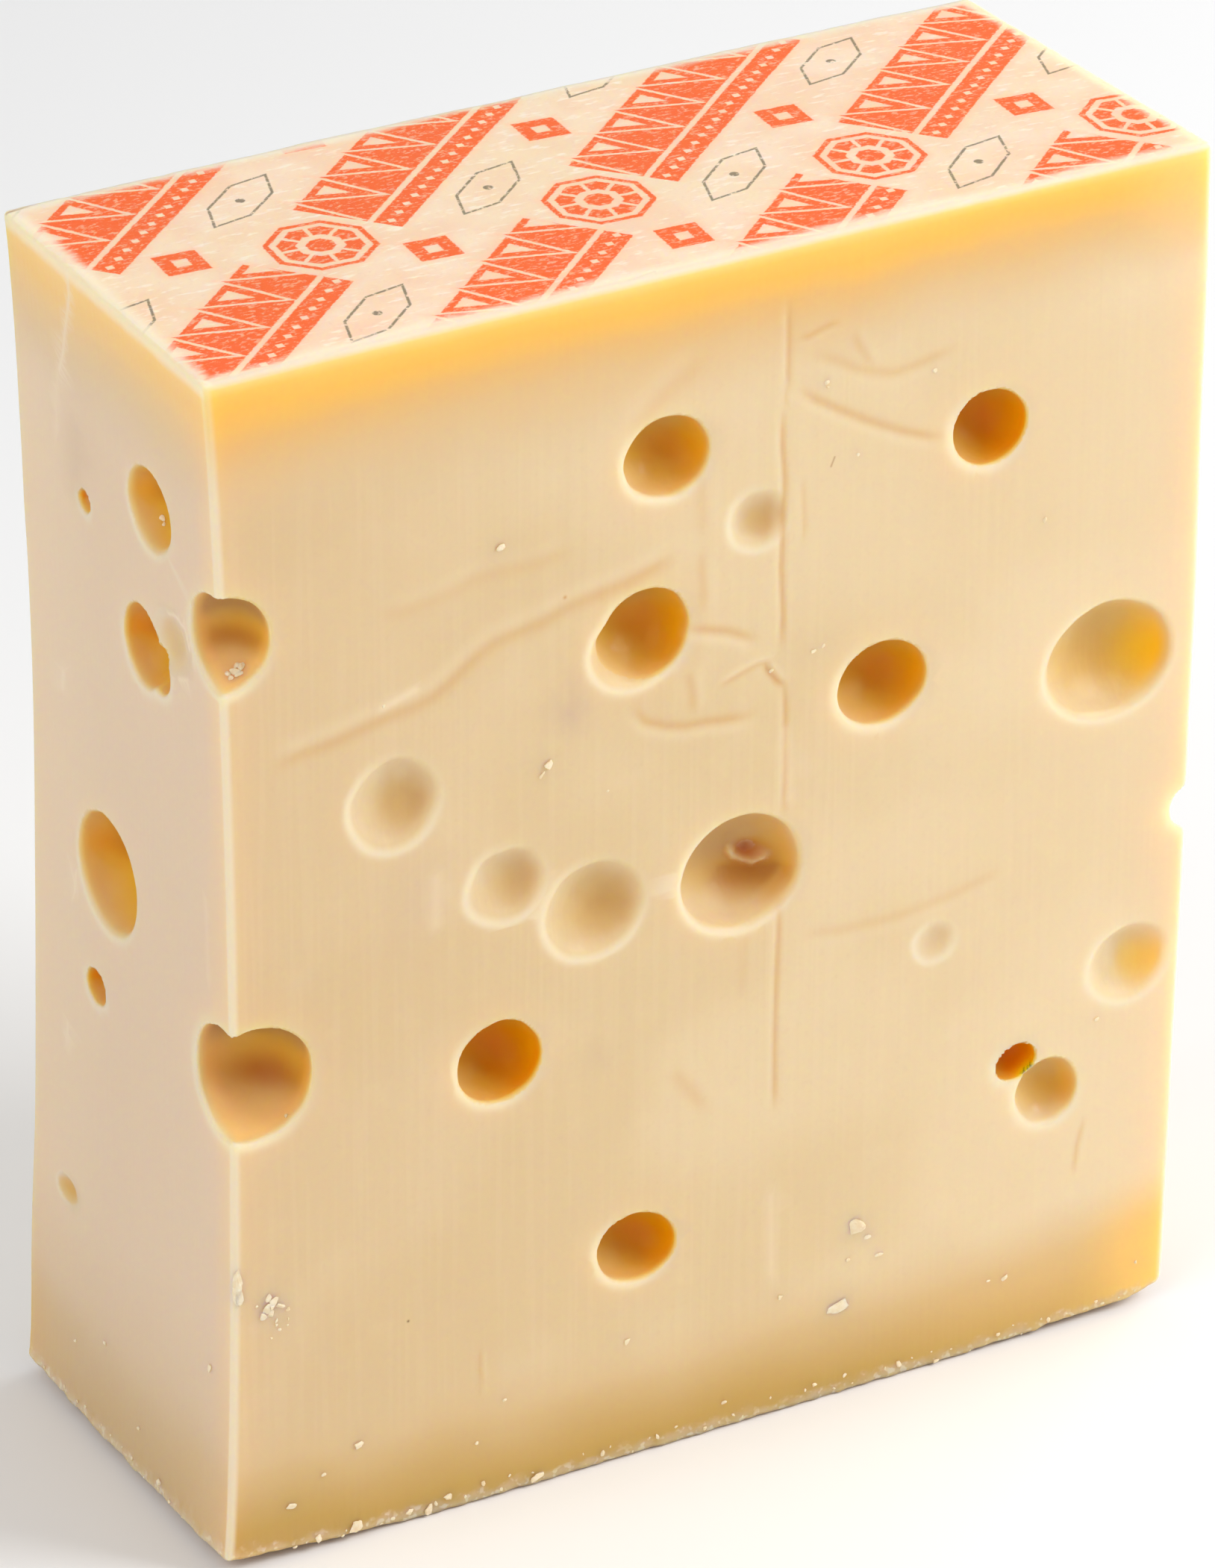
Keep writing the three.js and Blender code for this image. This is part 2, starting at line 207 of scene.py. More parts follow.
# Folds and knife marks on the long cut face: depth of the groove, its half
# width, height of the lip beside it, the side of the lip (1 to the left of the
# way the line runs, -1 to the right), how strongly painted shade darkens it,
# and the line it follows, as distance from the left end and height over the datum.
GROOVES = [
    # the long knife line, in the lengths the blade left it
    (0.11, 0.55, 0.06, -1, 0.71, [(96.5, 193.5), (96.6, 186.4), (96.6, 181.6), (96.4, 175.5), (96.9, 172.6)]),
    (0.02, 0.50, 0.07, 1, 0.00, [(94.6, 180.6), (95.3, 178.4), (96.0, 175.6), (96.8, 173.2)]),
    (0.13, 0.60, 0.06, -1, 0.83, [(95.8, 175.6), (95.8, 168.0), (96.3, 162.4), (96.1, 155.0), (95.9, 147.9), (96.4, 139.7), (96.2, 134.0), (95.9, 132.6)]),
    (0.13, 0.60, 0.06, -1, 0.86, [(96.4, 130.2), (97.0, 127.4), (97.2, 120.2), (97.3, 114.0), (97.2, 104.0)]),
    (0.10, 0.60, 0.06, -1, 0.76, [(96.7, 91.5), (96.6, 84.0), (96.3, 76.0), (96.2, 64.0), (96.4, 52.0)]),
    (0.05, 0.60, 0.04, -1, 0.40, [(99.4, 163.5), (99.5, 160.0), (99.8, 154.6), (99.7, 150.0)]),
    # the tear that meets it
    (0.08, 0.55, 0.09, 1, 0.52, [(84.7, 129.9), (86.9, 130.7), (89.7, 131.7), (92.2, 132.3), (94.2, 132.2), (95.3, 132.5), (95.9, 133.3)]),
    (0.24, 0.65, 0.07, 1, 1.00, [(93.0, 132.9), (94.2, 130.6), (95.4, 128.9), (97.2, 127.2)]),
    # soft folds left of it
    (0.13, 0.85, 0.08, -1, 0.71, [(78.6, 142.3), (81.7, 140.9), (86.8, 139.3), (89.6, 137.9), (92.9, 135.9)]),
    (0.12, 0.90, 0.07, -1, 0.71, [(69.4, 131.8), (72.9, 127.4), (76.3, 125.9), (79.7, 125.0), (83.0, 124.9), (86.4, 124.4), (89.8, 124.1), (93.4, 124.5)]),
    (0.08, 0.90, 0.05, 1, 0.52, [(79.8, 135.0), (80.7, 130.4), (81.0, 126.2)]),
    (0.06, 0.90, 0.04, 1, 0.40, [(82.0, 155.0), (82.1, 151.2), (82.5, 146.3), (82.3, 142.5)]),
    # the long fold that rises from the left to the second eye
    (0.12, 1.30, 0.06, 1, 0.55, [(8.4, 135.4), (15.1, 136.7), (20.0, 137.3), (24.4, 138.3), (28.8, 139.2), (32.9, 139.7), (36.4, 140.6), (39.6, 142.5), (43.6, 145.4), (46.7, 147.1), (50.3, 147.8), (54.8, 148.6), (59.3, 150.0), (64.3, 150.9), (69.3, 151.6), (73.8, 152.9), (79.4, 154.2)]),
    (0.06, 1.20, 0.03, 1, 0.28, [(26.0, 156.9), (31.6, 155.8), (35.6, 156.4), (39.6, 157.2), (43.6, 158.4), (47.6, 158.7), (53.4, 158.4), (62.0, 159.8)]),
    (0.06, 1.60, 0.03, 1, 0.30, [(68.0, 173.5), (72.0, 178.0), (76.0, 181.5), (84.0, 186.5)]),
    (0.05, 1.20, 0.03, 1, 0.25, [(81.6, 168.0), (82.0, 160.0), (82.0, 155.0)]),
    # arcs at the upper right
    (0.12, 0.85, 0.06, -1, 0.69, [(97.4, 178.0), (101.4, 174.5), (105.5, 171.9), (109.6, 169.5), (113.3, 167.5), (117.0, 165.6), (121.4, 163.9), (125.6, 162.8)]),
    (0.08, 0.95, 0.03, -1, 0.48, [(99.4, 182.9), (104.6, 180.3), (108.3, 178.1), (111.6, 176.7), (114.9, 175.8), (118.5, 176.2), (122.2, 176.9), (127.5, 178.0)]),
    (0.06, 0.80, 0.03, 1, 0.39, [(107.2, 184.6), (108.2, 182.8), (109.3, 180.8), (110.4, 178.8), (111.8, 177.4)]),
    (0.09, 0.55, 0.03, -1, 0.63, [(97.4, 185.4), (100.1, 185.2), (102.3, 185.9), (104.1, 186.3), (106.4, 186.3)]),
    # faint arc and dents lower down
    (0.06, 1.00, 0.03, -1, 0.34, [(99.5, 83.8), (108.0, 82.4), (118.4, 82.2), (128.0, 83.4), (138.0, 85.6)]),
    (0.08, 1.30, 0.03, 1, 0.39, [(77.2, 66.7), (80.6, 62.0), (84.6, 56.2)]),
    (0.05, 0.90, 0.02, 1, 0.23, [(90.5, 88.0), (90.2, 80.0), (90.0, 74.0)]),
    (0.11, 0.55, 0.04, 1, 0.52, [(154.2, 36.8), (152.8, 31.0), (152.2, 25.0)]),
    (0.08, 0.50, 0.04, 1, 0.40, [(44.3, 26.0), (44.2, 22.0), (44.6, 18.5)]),
]


# Pale scratches: side, half width, strength, line. Distances along the front
# are from its left end, along the left face from its front edge.
SCARS = [
    ("front", 0.7, 0.45, [(28.0, 140.9), (33.5, 142.7)]),
    ("front", 0.8, 0.30, [(96.0, 38.0), (96.3, 24.0)]),
    ("front", 1.2, 0.35, [(36.9, 110.0), (36.8, 102.5)]),
    ("front", 0.8, 0.30, [(97.4, 120.0), (98.0, 108.0)]),
    ("left", 0.55, 0.75, [(44.6, 199.5), (44.9, 195.5), (46.0, 192.5), (47.6, 188.4), (48.8, 184.6), (50.6, 181.0)]),
    ("left", 0.5, 0.35, [(50.6, 181.0), (52.2, 177.0), (52.8, 170.0)]),
    ("left", 0.5, 0.22, [(7.6, 112.0), (7.3, 98.0)]),
    ("left", 0.35, 0.75, [(17.2, 155.3), (13.9, 156.3), (11.0, 155.5), (10.0, 152.7)]),
    ("left", 0.5, 0.60, [(13.8, 146.0), (11.1, 147.0)]),
    ("left", 0.5, 0.60, [(52.0, 95.5), (52.6, 91.8)]),
    ("left", 0.5, 0.60, [(56.0, 67.0), (56.4, 63.6)]),
    ("left", 0.8, 0.50, [(54.4, 129.0), (55.0, 126.0)]),
]
STAINS = [
    ("front", 2.9, 0.60, [(59.9, 132.6), (59.9, 131.6)]),
    ("front", 1.2, 0.60, [(26.5, 97.3), (26.5, 96.9)]),
    ("front", 6.0, 0.22, [(33.0, 109.0), (33.0, 107.0)]),
    ("front", 2.4, 0.35, [(64.5, 72.0), (64.5, 71.0)]),
    ("left", 3.6, 0.35, [(46.0, 172.0), (47.0, 164.0)]),
]


def run_along(line, a, b):
    """Distance from each point to a line, the side it is on, and how far along."""
    line = np.array(line, np.float32)
    best = np.full(len(a), 1e9, np.float32)
    side = np.zeros(len(a), np.float32)
    along = np.zeros(len(a), np.float32)
    seg = np.diff(line, axis=0)
    length = np.hypot(seg[:, 0], seg[:, 1])
    run = 0.0
    for k in range(len(seg)):
        ex, ez = seg[k] / length[k]
        rx, rz = a - line[k, 0], b - line[k, 1]
        t = np.clip(rx * ex + rz * ez, 0, length[k])
        dx, dz = rx - t * ex, rz - t * ez
        dist = np.hypot(dx, dz)
        closer = dist < best
        best = np.where(closer, dist, best)
        side = np.where(closer, np.where(ex * dz - ez * dx > 0, 1.0, -1.0), side)
        along = np.where(closer, run + t, along)
        run += length[k]
    return best, side, along, run


def groove_field(s, z):
    """The dip that the folds make on the long face, the painted shade in it and the painted highlight on the lip beside
    it.
    """
    dip = np.zeros(len(s), np.float32)
    painted_groove_shade = np.zeros(len(s), np.float32)
    pale = np.zeros(len(s), np.float32)
    for depth, half, lip, lip_side, strength, line in GROOVES:
        low, high = np.min(line, 0) - 5, np.max(line, 0) + 5
        near = np.nonzero((s > low[0]) & (s < high[0]) & (z > low[1]) & (z < high[1]))[0]
        if not len(near):
            continue
        dist, side, along, total = run_along(line, s[near], z[near])
        ends = min(6.0, total * 0.3)
        fade = step(0, ends, along) * step(0, ends, total - along)
        signed = dist * side * lip_side
        g = np.exp(-((dist / half) ** 2)) * fade
        ridge = np.exp(-(((signed - 1.7 * half) / (1.05 * half)) ** 2)) * fade
        dip[near] += (depth * g - lip * ridge).astype(np.float32)
        painted_groove_shade[near] = np.maximum(painted_groove_shade[near], (g * strength).astype(np.float32))
        pale[near] = np.maximum(pale[near], (ridge * min(1.0, lip / 0.08)).astype(np.float32))
    return dip, painted_groove_shade, pale


def mark_field(table, front, left, s, y, h):
    """How strongly a table of scratches or stains shows at each point."""
    out = np.zeros(len(s), np.float32)
    for side, half, strength, line in table:
        on, along_face = (front, s) if side == "front" else (left, y)
        low, high = np.min(line, 0) - 3 * half, np.max(line, 0) + 3 * half
        near = np.nonzero(on & (along_face > low[0]) & (along_face < high[0]) & (h > low[1]) & (h < high[1]))[0]
        if len(near):
            dist = run_along(line, along_face[near], h[near])[0]
            out[near] = np.maximum(out[near], (np.exp(-((dist / half) ** 2)) * strength).astype(np.float32))
    return out


def field(p, parts=False):
    """Distance to the cheese in mm, negative inside. With parts, also what the
    finish needs to know at each point."""
    p = np.asarray(p, np.float32)
    q = unbend(p)
    x, y, z = q[:, 0], q[:, 1], q[:, 2]

    # Upright faces, each edge rounded.
    cx, cy = x - WIDTH / 2, y - DEPTH / 2
    radius = np.where(cx < 0, np.where(cy < 0, 0.95, 1.3), np.where(cy < 0, 1.2, 1.3)).astype(np.float32)
    ax = np.abs(cx) - WIDTH / 2 + radius
    ay = np.abs(cy) - DEPTH / 2 + radius
    walls = np.minimum(np.maximum(ax, ay), 0) + np.hypot(np.maximum(ax, 0), np.maximum(ay, 0)) - radius

    # Relief on the four cut faces.
    idx = np.nonzero(np.abs(walls) < 4)[0]
    dip = np.zeros(len(p), np.float32)
    painted_groove_shade = np.zeros(len(p), np.float32)
    pale = np.zeros(len(p), np.float32)
    if len(idx):
        pb = p[idx]
        dip[idx] = 0.16 * noise(pb, 26, 1) + 0.05 * noise(pb, 9, 2)
        # the cut edges are a little ragged where the rind was cut through
        low = np.exp(-np.clip(z[idx], 0, 60) / 1.5)
        high = np.exp(-np.clip(RIND - z[idx], 0, 60) / 0.9)
        ragged = np.nonzero(low + high > 0.02)[0]
        if len(ragged):
            pr = pb[ragged]
            dip[idx[ragged]] += (
                low[ragged] * (0.26 * noise(pr, 2.3, 21) + 0.14 * noise(pr, 1.15, 22))
                + high[ragged] * (0.22 * np.maximum(noise(pr, 3.1, 23), 0) + 0.06 * noise(pr, 1.3, 24))
            )
        front = idx[y[idx] < 3]
        if len(front):
            s = p[front, 0] + WIDTH / 2 - SHIFT_X
            h = p[front, 2] - DATUM
            gd, gt, gp = groove_field(s, h)
            weight = step(3, 1.2, y[front])
            dip[front] += gd * weight
            painted_groove_shade[front] = gt * weight
            pale[front] = gp * weight
            for ps, ph, pr, amount in ROUGH:
                near = np.nonzero((np.abs(s - ps) < 3 * pr) & (np.abs(h - ph) < 3 * pr))[0]
                if len(near):
                    patch = np.exp(-(((s[near] - ps) / pr) ** 2 + ((h[near] - ph) / pr) ** 2)) * weight[near]
                    at = p[front[near]]
                    dip[front[near]] += (amount * patch * (noise(at, 1.5, 31) + 0.5 * noise(at, 0.8, 32))).astype(np.float32)
    walls = walls + dip

    # Rinds.
    top = z - RIND
    base = -z
    near_top = np.nonzero(np.abs(top) < 5)[0]
    near_base = np.nonzero(np.abs(base) < 5)[0]
    if len(near_top):
        pt = p[near_top]
        top[near_top] += 0.10 * noise(pt, 11, 5) + 0.035 * noise(pt, 3.2, 6)
    if len(near_base):
        pt = p[near_base]
        # only at the rim: the middle stays flat to stand on
        rim = np.exp(-np.clip(-walls[near_base], 0, 50) / 3.0)
        base[near_base] += rim * (0.02 + 0.22 * noise(pt, 5.5, 8) + 0.17 * noise(pt, 2.0, 9) + 0.10 * noise(pt, 1.1, 10))

    def meet(a, b, r):
        return np.minimum(-r, np.maximum(a, b)) + np.hypot(np.maximum(a + r, 0), np.maximum(b + r, 0))

    body = meet(walls, top, np.float32(0.75))
    body = meet(body, base, (0.8 + 1.9 * step(7, 1, WIDTH - x)).astype(np.float32))

    d = body.copy()
    eye = np.full(len(p), 50.0, np.float32)
    which = np.full(len(p), -1, np.int32)
    for number, e in enumerate(EYES):
        c = e["centre"]
        reach = e["reach"]
        near = np.nonzero(
            (np.abs(p[:, 0] - c[0]) < reach) & (np.abs(p[:, 1] - c[1]) < reach) & (np.abs(p[:, 2] - c[2]) < reach)
        )[0]
        if not len(near):
            continue
        pn = p[near]
        rel = pn - c
        r = rel @ e["turn"]  # along, normal, up
        wob = e["wobble"] * noise(pn, e["size"] * 0.9, e["seed"]) + 0.10 * noise(pn, 2.6, e["seed"] + 3)
        k0 = np.sqrt((((r / e["axes"]) ** 2)).sum(1))
        k1 = np.sqrt((((r / e["axes"] ** 2)) ** 2).sum(1)) + 1e-9
        ball = k0 * (k0 - 1) / k1 + wob
        if e.get("stop") is not None:
            ball = np.maximum(ball, pn[:, 0] - e["stop"])
        # the rim is crisp above and softer below, where the paste sagged
        flat = np.sqrt((rel ** 2).sum(1)) + 1e-6
        rr = (e["rim"] * (0.95 - 0.45 * rel[:, 2] / flat)).astype(np.float32)
        d[near] = meet(d[near], -ball, rr)
        which[near[ball < eye[near]]] = number
        eye[near] = np.minimum(eye[near], ball)
    # The crater in the wall of the wide eye: a pit, the lid-like lip round its
    # lower half, and the hollow that runs under that lip.
    lid = np.zeros(len(p), np.float32)
    pit = np.zeros(len(p), np.float32)
    scoop = np.zeros(len(p), np.float32)
    c = CRATER["centre"]
    near = np.nonzero(np.abs(p - c).max(1) < 12)[0]
    if len(near):
        r = p[near] - c
        deep = step(6.5, 4.0, np.abs(r[:, 1]))
        dist, side, along, total = run_along(CRATER["lip"], r[:, 0], r[:, 2])
        signed = dist * side
        fade = step(-0.2, 2.0, along) * step(-0.2, 2.0, total - along)
        # steep below, gentle towards the pit
        width = np.where(signed > 0, 1.15, 0.5)
        lid[near] = (np.exp(-((signed / width) ** 2)) * fade * deep).astype(np.float32)
        pit[near] = (np.exp(-((np.hypot(r[:, 0] * 0.85, r[:, 2]) / 1.75) ** 2)) * deep).astype(np.float32)
        dist, side, along, total = run_along(CRATER["shelf"], r[:, 0], r[:, 2])
        signed = dist * side
        fade = step(-0.5, 3.0, along) * step(-0.5, 3.0, total - along)
        reach = np.where(signed > -1.3, 0.75, 2.1)
        scoop[near] = (np.exp(-(((signed + 1.3) / reach) ** 2)) * fade * deep).astype(np.float32)
        d -= 0.85 * lid
        d += 1.2 * pit + 0.40 * scoop
    if not parts:
        return d
    return d, {"body": body, "eye": eye, "which": which, "painted_groove_shade": painted_groove_shade, "pale": pale, "lid": lid, "pit": pit, "scoop": scoop, "q": q}


def make_eyes():
    out = []
    frames = {  # along the face, out of it, up
        "front": ((1, 0, 0), (0, -1, 0)), "back": ((-1, 0, 0), (0, 1, 0)),
        "left": ((0, -1, 0), (-1, 0, 0)), "right": ((0, 1, 0), (1, 0, 0)),
    }
    seed = 20
    for name, eyes in (("front", FRONT_EYES), ("back", BACK_EYES), ("left", LEFT_EYES), ("right", RIGHT_EYES)):
        side, normal = (np.array(a, float) for a in frames[name])
        for s, h, a, b, depth, tilt, rim in eyes:
            v = (h + DATUM) / RIND
            if name in ("front", "back"):
                at = place(np.array(s / WIDTH), np.array(0.0 if name == "front" else 1.0), np.array(v))
                at[0] = s - WIDTH / 2 + SHIFT_X
            else:
                at = place(np.array(0.0 if name == "left" else 1.0), np.array(s / DEPTH), np.array(v))
                at[1] = s - DEPTH / 2 + SHIFT_Y
            at[2] = h + DATUM
            mean = math.sqrt(a * b)
            R = (mean * mean + depth * depth) / (2 * depth)
            centre = at + normal * (R - depth)
            c, k = math.cos(math.radians(tilt)), math.sin(math.radians(tilt))
            up = np.array([0, 0, 1.0])
            one = side * c + up * k
            two = -side * k + up * c
            axes = np.array([R * a / mean, R, R * b / mean])
            seed += 1
            out.append({
                "centre": centre.astype(np.float32), "turn": np.stack([one, normal, two], 1).astype(np.float32),
                "axes": axes.astype(np.float32), "rim": rim, "reach": float(axes.max() + 4),
                "wobble": 0.05 * mean * 0.7, "size": mean, "seed": seed * 1.37, "depth": depth,
                "closed": depth / (2 * R),
                "stop": (96.3 - WIDTH / 2 + SHIFT_X) if (name == "front" and (s, h) == (91.8, 157.0)) else None,
            })
    for x, y, z, r, rim in EDGE_EYES:
        seed += 1
        out.append({
            "centre": np.array([x - WIDTH / 2 + SHIFT_X, y - DEPTH / 2 + SHIFT_Y, z + DATUM], np.float32),
            "turn": np.eye(3, dtype=np.float32), "axes": np.array([r, r, r], np.float32), "rim": rim,
            "reach": r + 4, "wobble": 0.03 * r, "size": r, "seed": seed * 1.37, "depth": r, "closed": 0.42, "stop": None,
        })
    return out


EYES = make_eyes()
CRATER = {
    "centre": np.array([94.9 - WIDTH / 2 + SHIFT_X, -DEPTH / 2 + SHIFT_Y + 7.1, 96.7 + DATUM], np.float32),
    # from left to right, under the pit
    "lip": [(-3.0, 1.9), (-3.0, 0.4), (-2.4, -0.7), (-1.1, -1.3), (0.4, -1.75), (1.8, -0.95), (2.9, 0.4)],
    "shelf": [(-6.0, -0.5), (-4.2, -1.1), (-2.2, -1.5), (0.4, -2.0), (1.8, -1.5), (3.4, -1.0), (5.8, -0.2)],
}
# Rough spots on the long face: place, radius, and height of their relief.
ROUGH = [(7.5, 43.7, 2.3, 0.26), (45.0, 18.0, 1.5, 0.16), (111.8, 28.6, 2.2, 0.14), (102.9, 132.5, 1.6, 0.10)]


# =============================================================================
# From the field to a mesh
# =============================================================================
def in_batches(fn, p, size=400_000):
    return np.concatenate([fn(p[i:i + size]) for i in range(0, len(p), size)])


def polygonise(h):
    low = np.array([-87.0, -36.6, -1.2])
    high = np.array([87.0, 36.6, 205.4])
    block = 4
    n = np.ceil((high - low) / (h * block)).astype(int)
    fine = n * block + 1
    # coarse pass over block centres
    ci, cj, ck = np.meshgrid(*[np.arange(k) for k in n], indexing="ij")
    centres = np.stack([ci, cj, ck], -1).reshape(-1, 3) * (h * block) + low + h * block / 2
    coarse = in_batches(field, centres).reshape(n)
    keep = np.abs(coarse) < h * block * 0.87 * 1.15 + 1.3
    F = np.repeat(np.repeat(np.repeat(np.sign(coarse), block, 0), block, 1), block, 2)
    F = np.pad(F, ((0, 1),) * 3, mode="edge").astype(np.float32)
    mask = np.zeros(fine, bool)
    bi, bj, bk = np.nonzero(keep)
    for a in range(block + 1):
        for b in range(block + 1):
            for c in range(block + 1):
                mask[bi * block + a, bj * block + b, bk * block + c] = True
    gi = np.stack(np.nonzero(mask), -1)
    F[mask] = in_batches(field, gi * h + low)
    print("grid", fine, "evaluated", len(gi), "at %.1f s" % (time.perf_counter() - T0))

    inside = F < 0
    shape = np.array(F.shape)
    cells = shape - 1
    stride = np.array([cells[1] * cells[2], cells[2], 1])
    ids, pts = [], []
    quads = []
    for axis in range(3):
        o1, o2 = [(1, 2), (2, 0), (0, 1)][axis]
        a = np.take(inside, range(0, shape[axis] - 1), axis)
        b = np.take(inside, range(1, shape[axis]), axis)
        e = np.stack(np.nonzero(a != b), -1)
        ok = np.ones(len(e), bool)
        for o in (o1, o2):
            ok &= (e[:, o] > 0) & (e[:, o] < shape[o] - 1)
        e = e[ok]
        f0 = F[e[:, 0], e[:, 1], e[:, 2]]
        e2 = e.copy(); e2[:, axis] += 1
        f1 = F[e2[:, 0], e2[:, 1], e2[:, 2]]
        t = f0 / (f0 - f1)
        pt = e.astype(np.float64)
        pt[:, axis] += t
        around = []
        for d1, d2 in ((0, 0), (-1, 0), (-1, -1), (0, -1)):
            c = e.copy()
            c[:, o1] += d1
            c[:, o2] += d2
            cid = c @ stride
            around.append(cid)
            ids.append(cid)
            pts.append(pt)
        qd = np.stack(around, -1)
        flip = f0 > 0
        qd[flip] = qd[flip][:, ::-1]
        quads.append(qd)
    ids = np.concatenate(ids)
    pts = np.concatenate(pts)
    quads = np.concatenate(quads)
    uniq, inv = np.unique(ids, return_inverse=True)
    cnt = np.bincount(inv)
    v = np.stack([np.bincount(inv, pts[:, k]) / cnt for k in range(3)], -1) * h + low
    quads = np.searchsorted(uniq, quads)
    return v, quads


def gradient(p, e=0.12):
    g = np.empty_like(p)
    for k in range(3):
        s = np.zeros(3); s[k] = e
        g[:, k] = (in_batches(field, p + s) - in_batches(field, p - s)) / (2 * e)
    return g


def settle(p, rounds, limit):
    for _ in range(rounds):
        d = in_batches(field, p)
        g = gradient(p)
        n2 = np.maximum((g ** 2).sum(1), 0.2)
        move = -(d / n2)[:, None] * g
        size = np.linalg.norm(move, axis=1)
        move *= np.minimum(1, limit / np.maximum(size, 1e-9))[:, None]
        p = p + move
    return p


def look_up(p, keys):
    """What field(p, True) knows, for many points."""
    got = {k: [] for k in keys}
    for i in range(0, len(p), 300_000):
        _, parts = field(p[i:i + 300_000], True)
        for k in keys:
            got[k].append(parts[k])
    return {k: np.concatenate(v) for k, v in got.items()}


def build_mesh(name, h, faces_wanted):
    v, quads = polygonise(h)
    print("nets", len(v), len(quads), "at %.1f s" % (time.perf_counter() - T0))
    v = settle(v, 2, 0.5 * h)
    print("settled at %.1f s" % (time.perf_counter() - T0))
    me = bpy.data.meshes.new(name)
    me.vertices.add(len(v))
    me.vertices.foreach_set("co", (v * MM).astype(np.float32).ravel())
    me.loops.add(len(quads) * 4)
    me.loops.foreach_set("vertex_index", quads.astype(np.int32).ravel())
    me.polygons.add(len(quads))
    me.polygons.foreach_set("loop_start", np.arange(0, len(quads) * 4, 4, dtype=np.int32))
    me.update(calc_edges=True)
    me.validate()
    ob = bpy.data.objects.new(name, me)
    bpy.context.scene.collection.objects.link(ob)
    if faces_wanted and len(quads) * 2 > faces_wanted:
        # the crisp detail on the two faces seen first keeps its full density
        got = look_up(v, ("body", "eye", "painted_groove_shade", "pale", "lid", "pit", "scoop", "q"))
        seen = (got["q"][:, 1] < 12) | (got["q"][:, 0] < 12)
        keep = seen & (np.abs(got["eye"] - 0.1) < 0.75) & (got["body"] > -1.1)
        keep |= (got["painted_groove_shade"] > 0.15) | (got["pale"] > 0.3) | (got["lid"] > 0.1) | (got["pit"] > 0.1) | (got["scoop"] > 0.2)
        s = v[:, 0] + WIDTH / 2 - SHIFT_X
        keep |= mark_field(SCARS, got["q"][:, 1] < 2, got["q"][:, 0] < 2, s, v[:, 1] + DEPTH / 2 - SHIFT_Y, v[:, 2] - DATUM) > 0.1
        for ps, ph, pr, amount in ROUGH:
            keep |= (np.hypot(s - ps, v[:, 2] - DATUM - ph) < 1.3 * pr) & (got["q"][:, 1] < 2)
        print("kept", keep.sum(), "of", len(v))
        group = ob.vertex_groups.new(name="free")
        group.add(np.nonzero(~keep)[0].tolist(), 1.0, "REPLACE")
        tri = ob.modifiers.new("tri", "TRIANGULATE")
        tri.quad_method = "SHORTEST_DIAGONAL"
        dec = ob.modifiers.new("thin", "DECIMATE")
        dec.ratio = faces_wanted / (len(quads) * 2)
        dec.vertex_group = "free"
        dg = bpy.context.evaluated_depsgraph_get()
        new = bpy.data.meshes.new_from_object(ob.evaluated_get(dg))
        ob.modifiers.clear()
        ob.vertex_groups.clear()
        ob.data = new
        bpy.data.meshes.remove(me)
        new.name = name
    print("thinned", len(ob.data.vertices), len(ob.data.polygons), "at %.1f s" % (time.perf_counter() - T0))
    return ob


PACKED = {}  # name of a mark: the attribute that holds it, and its place there


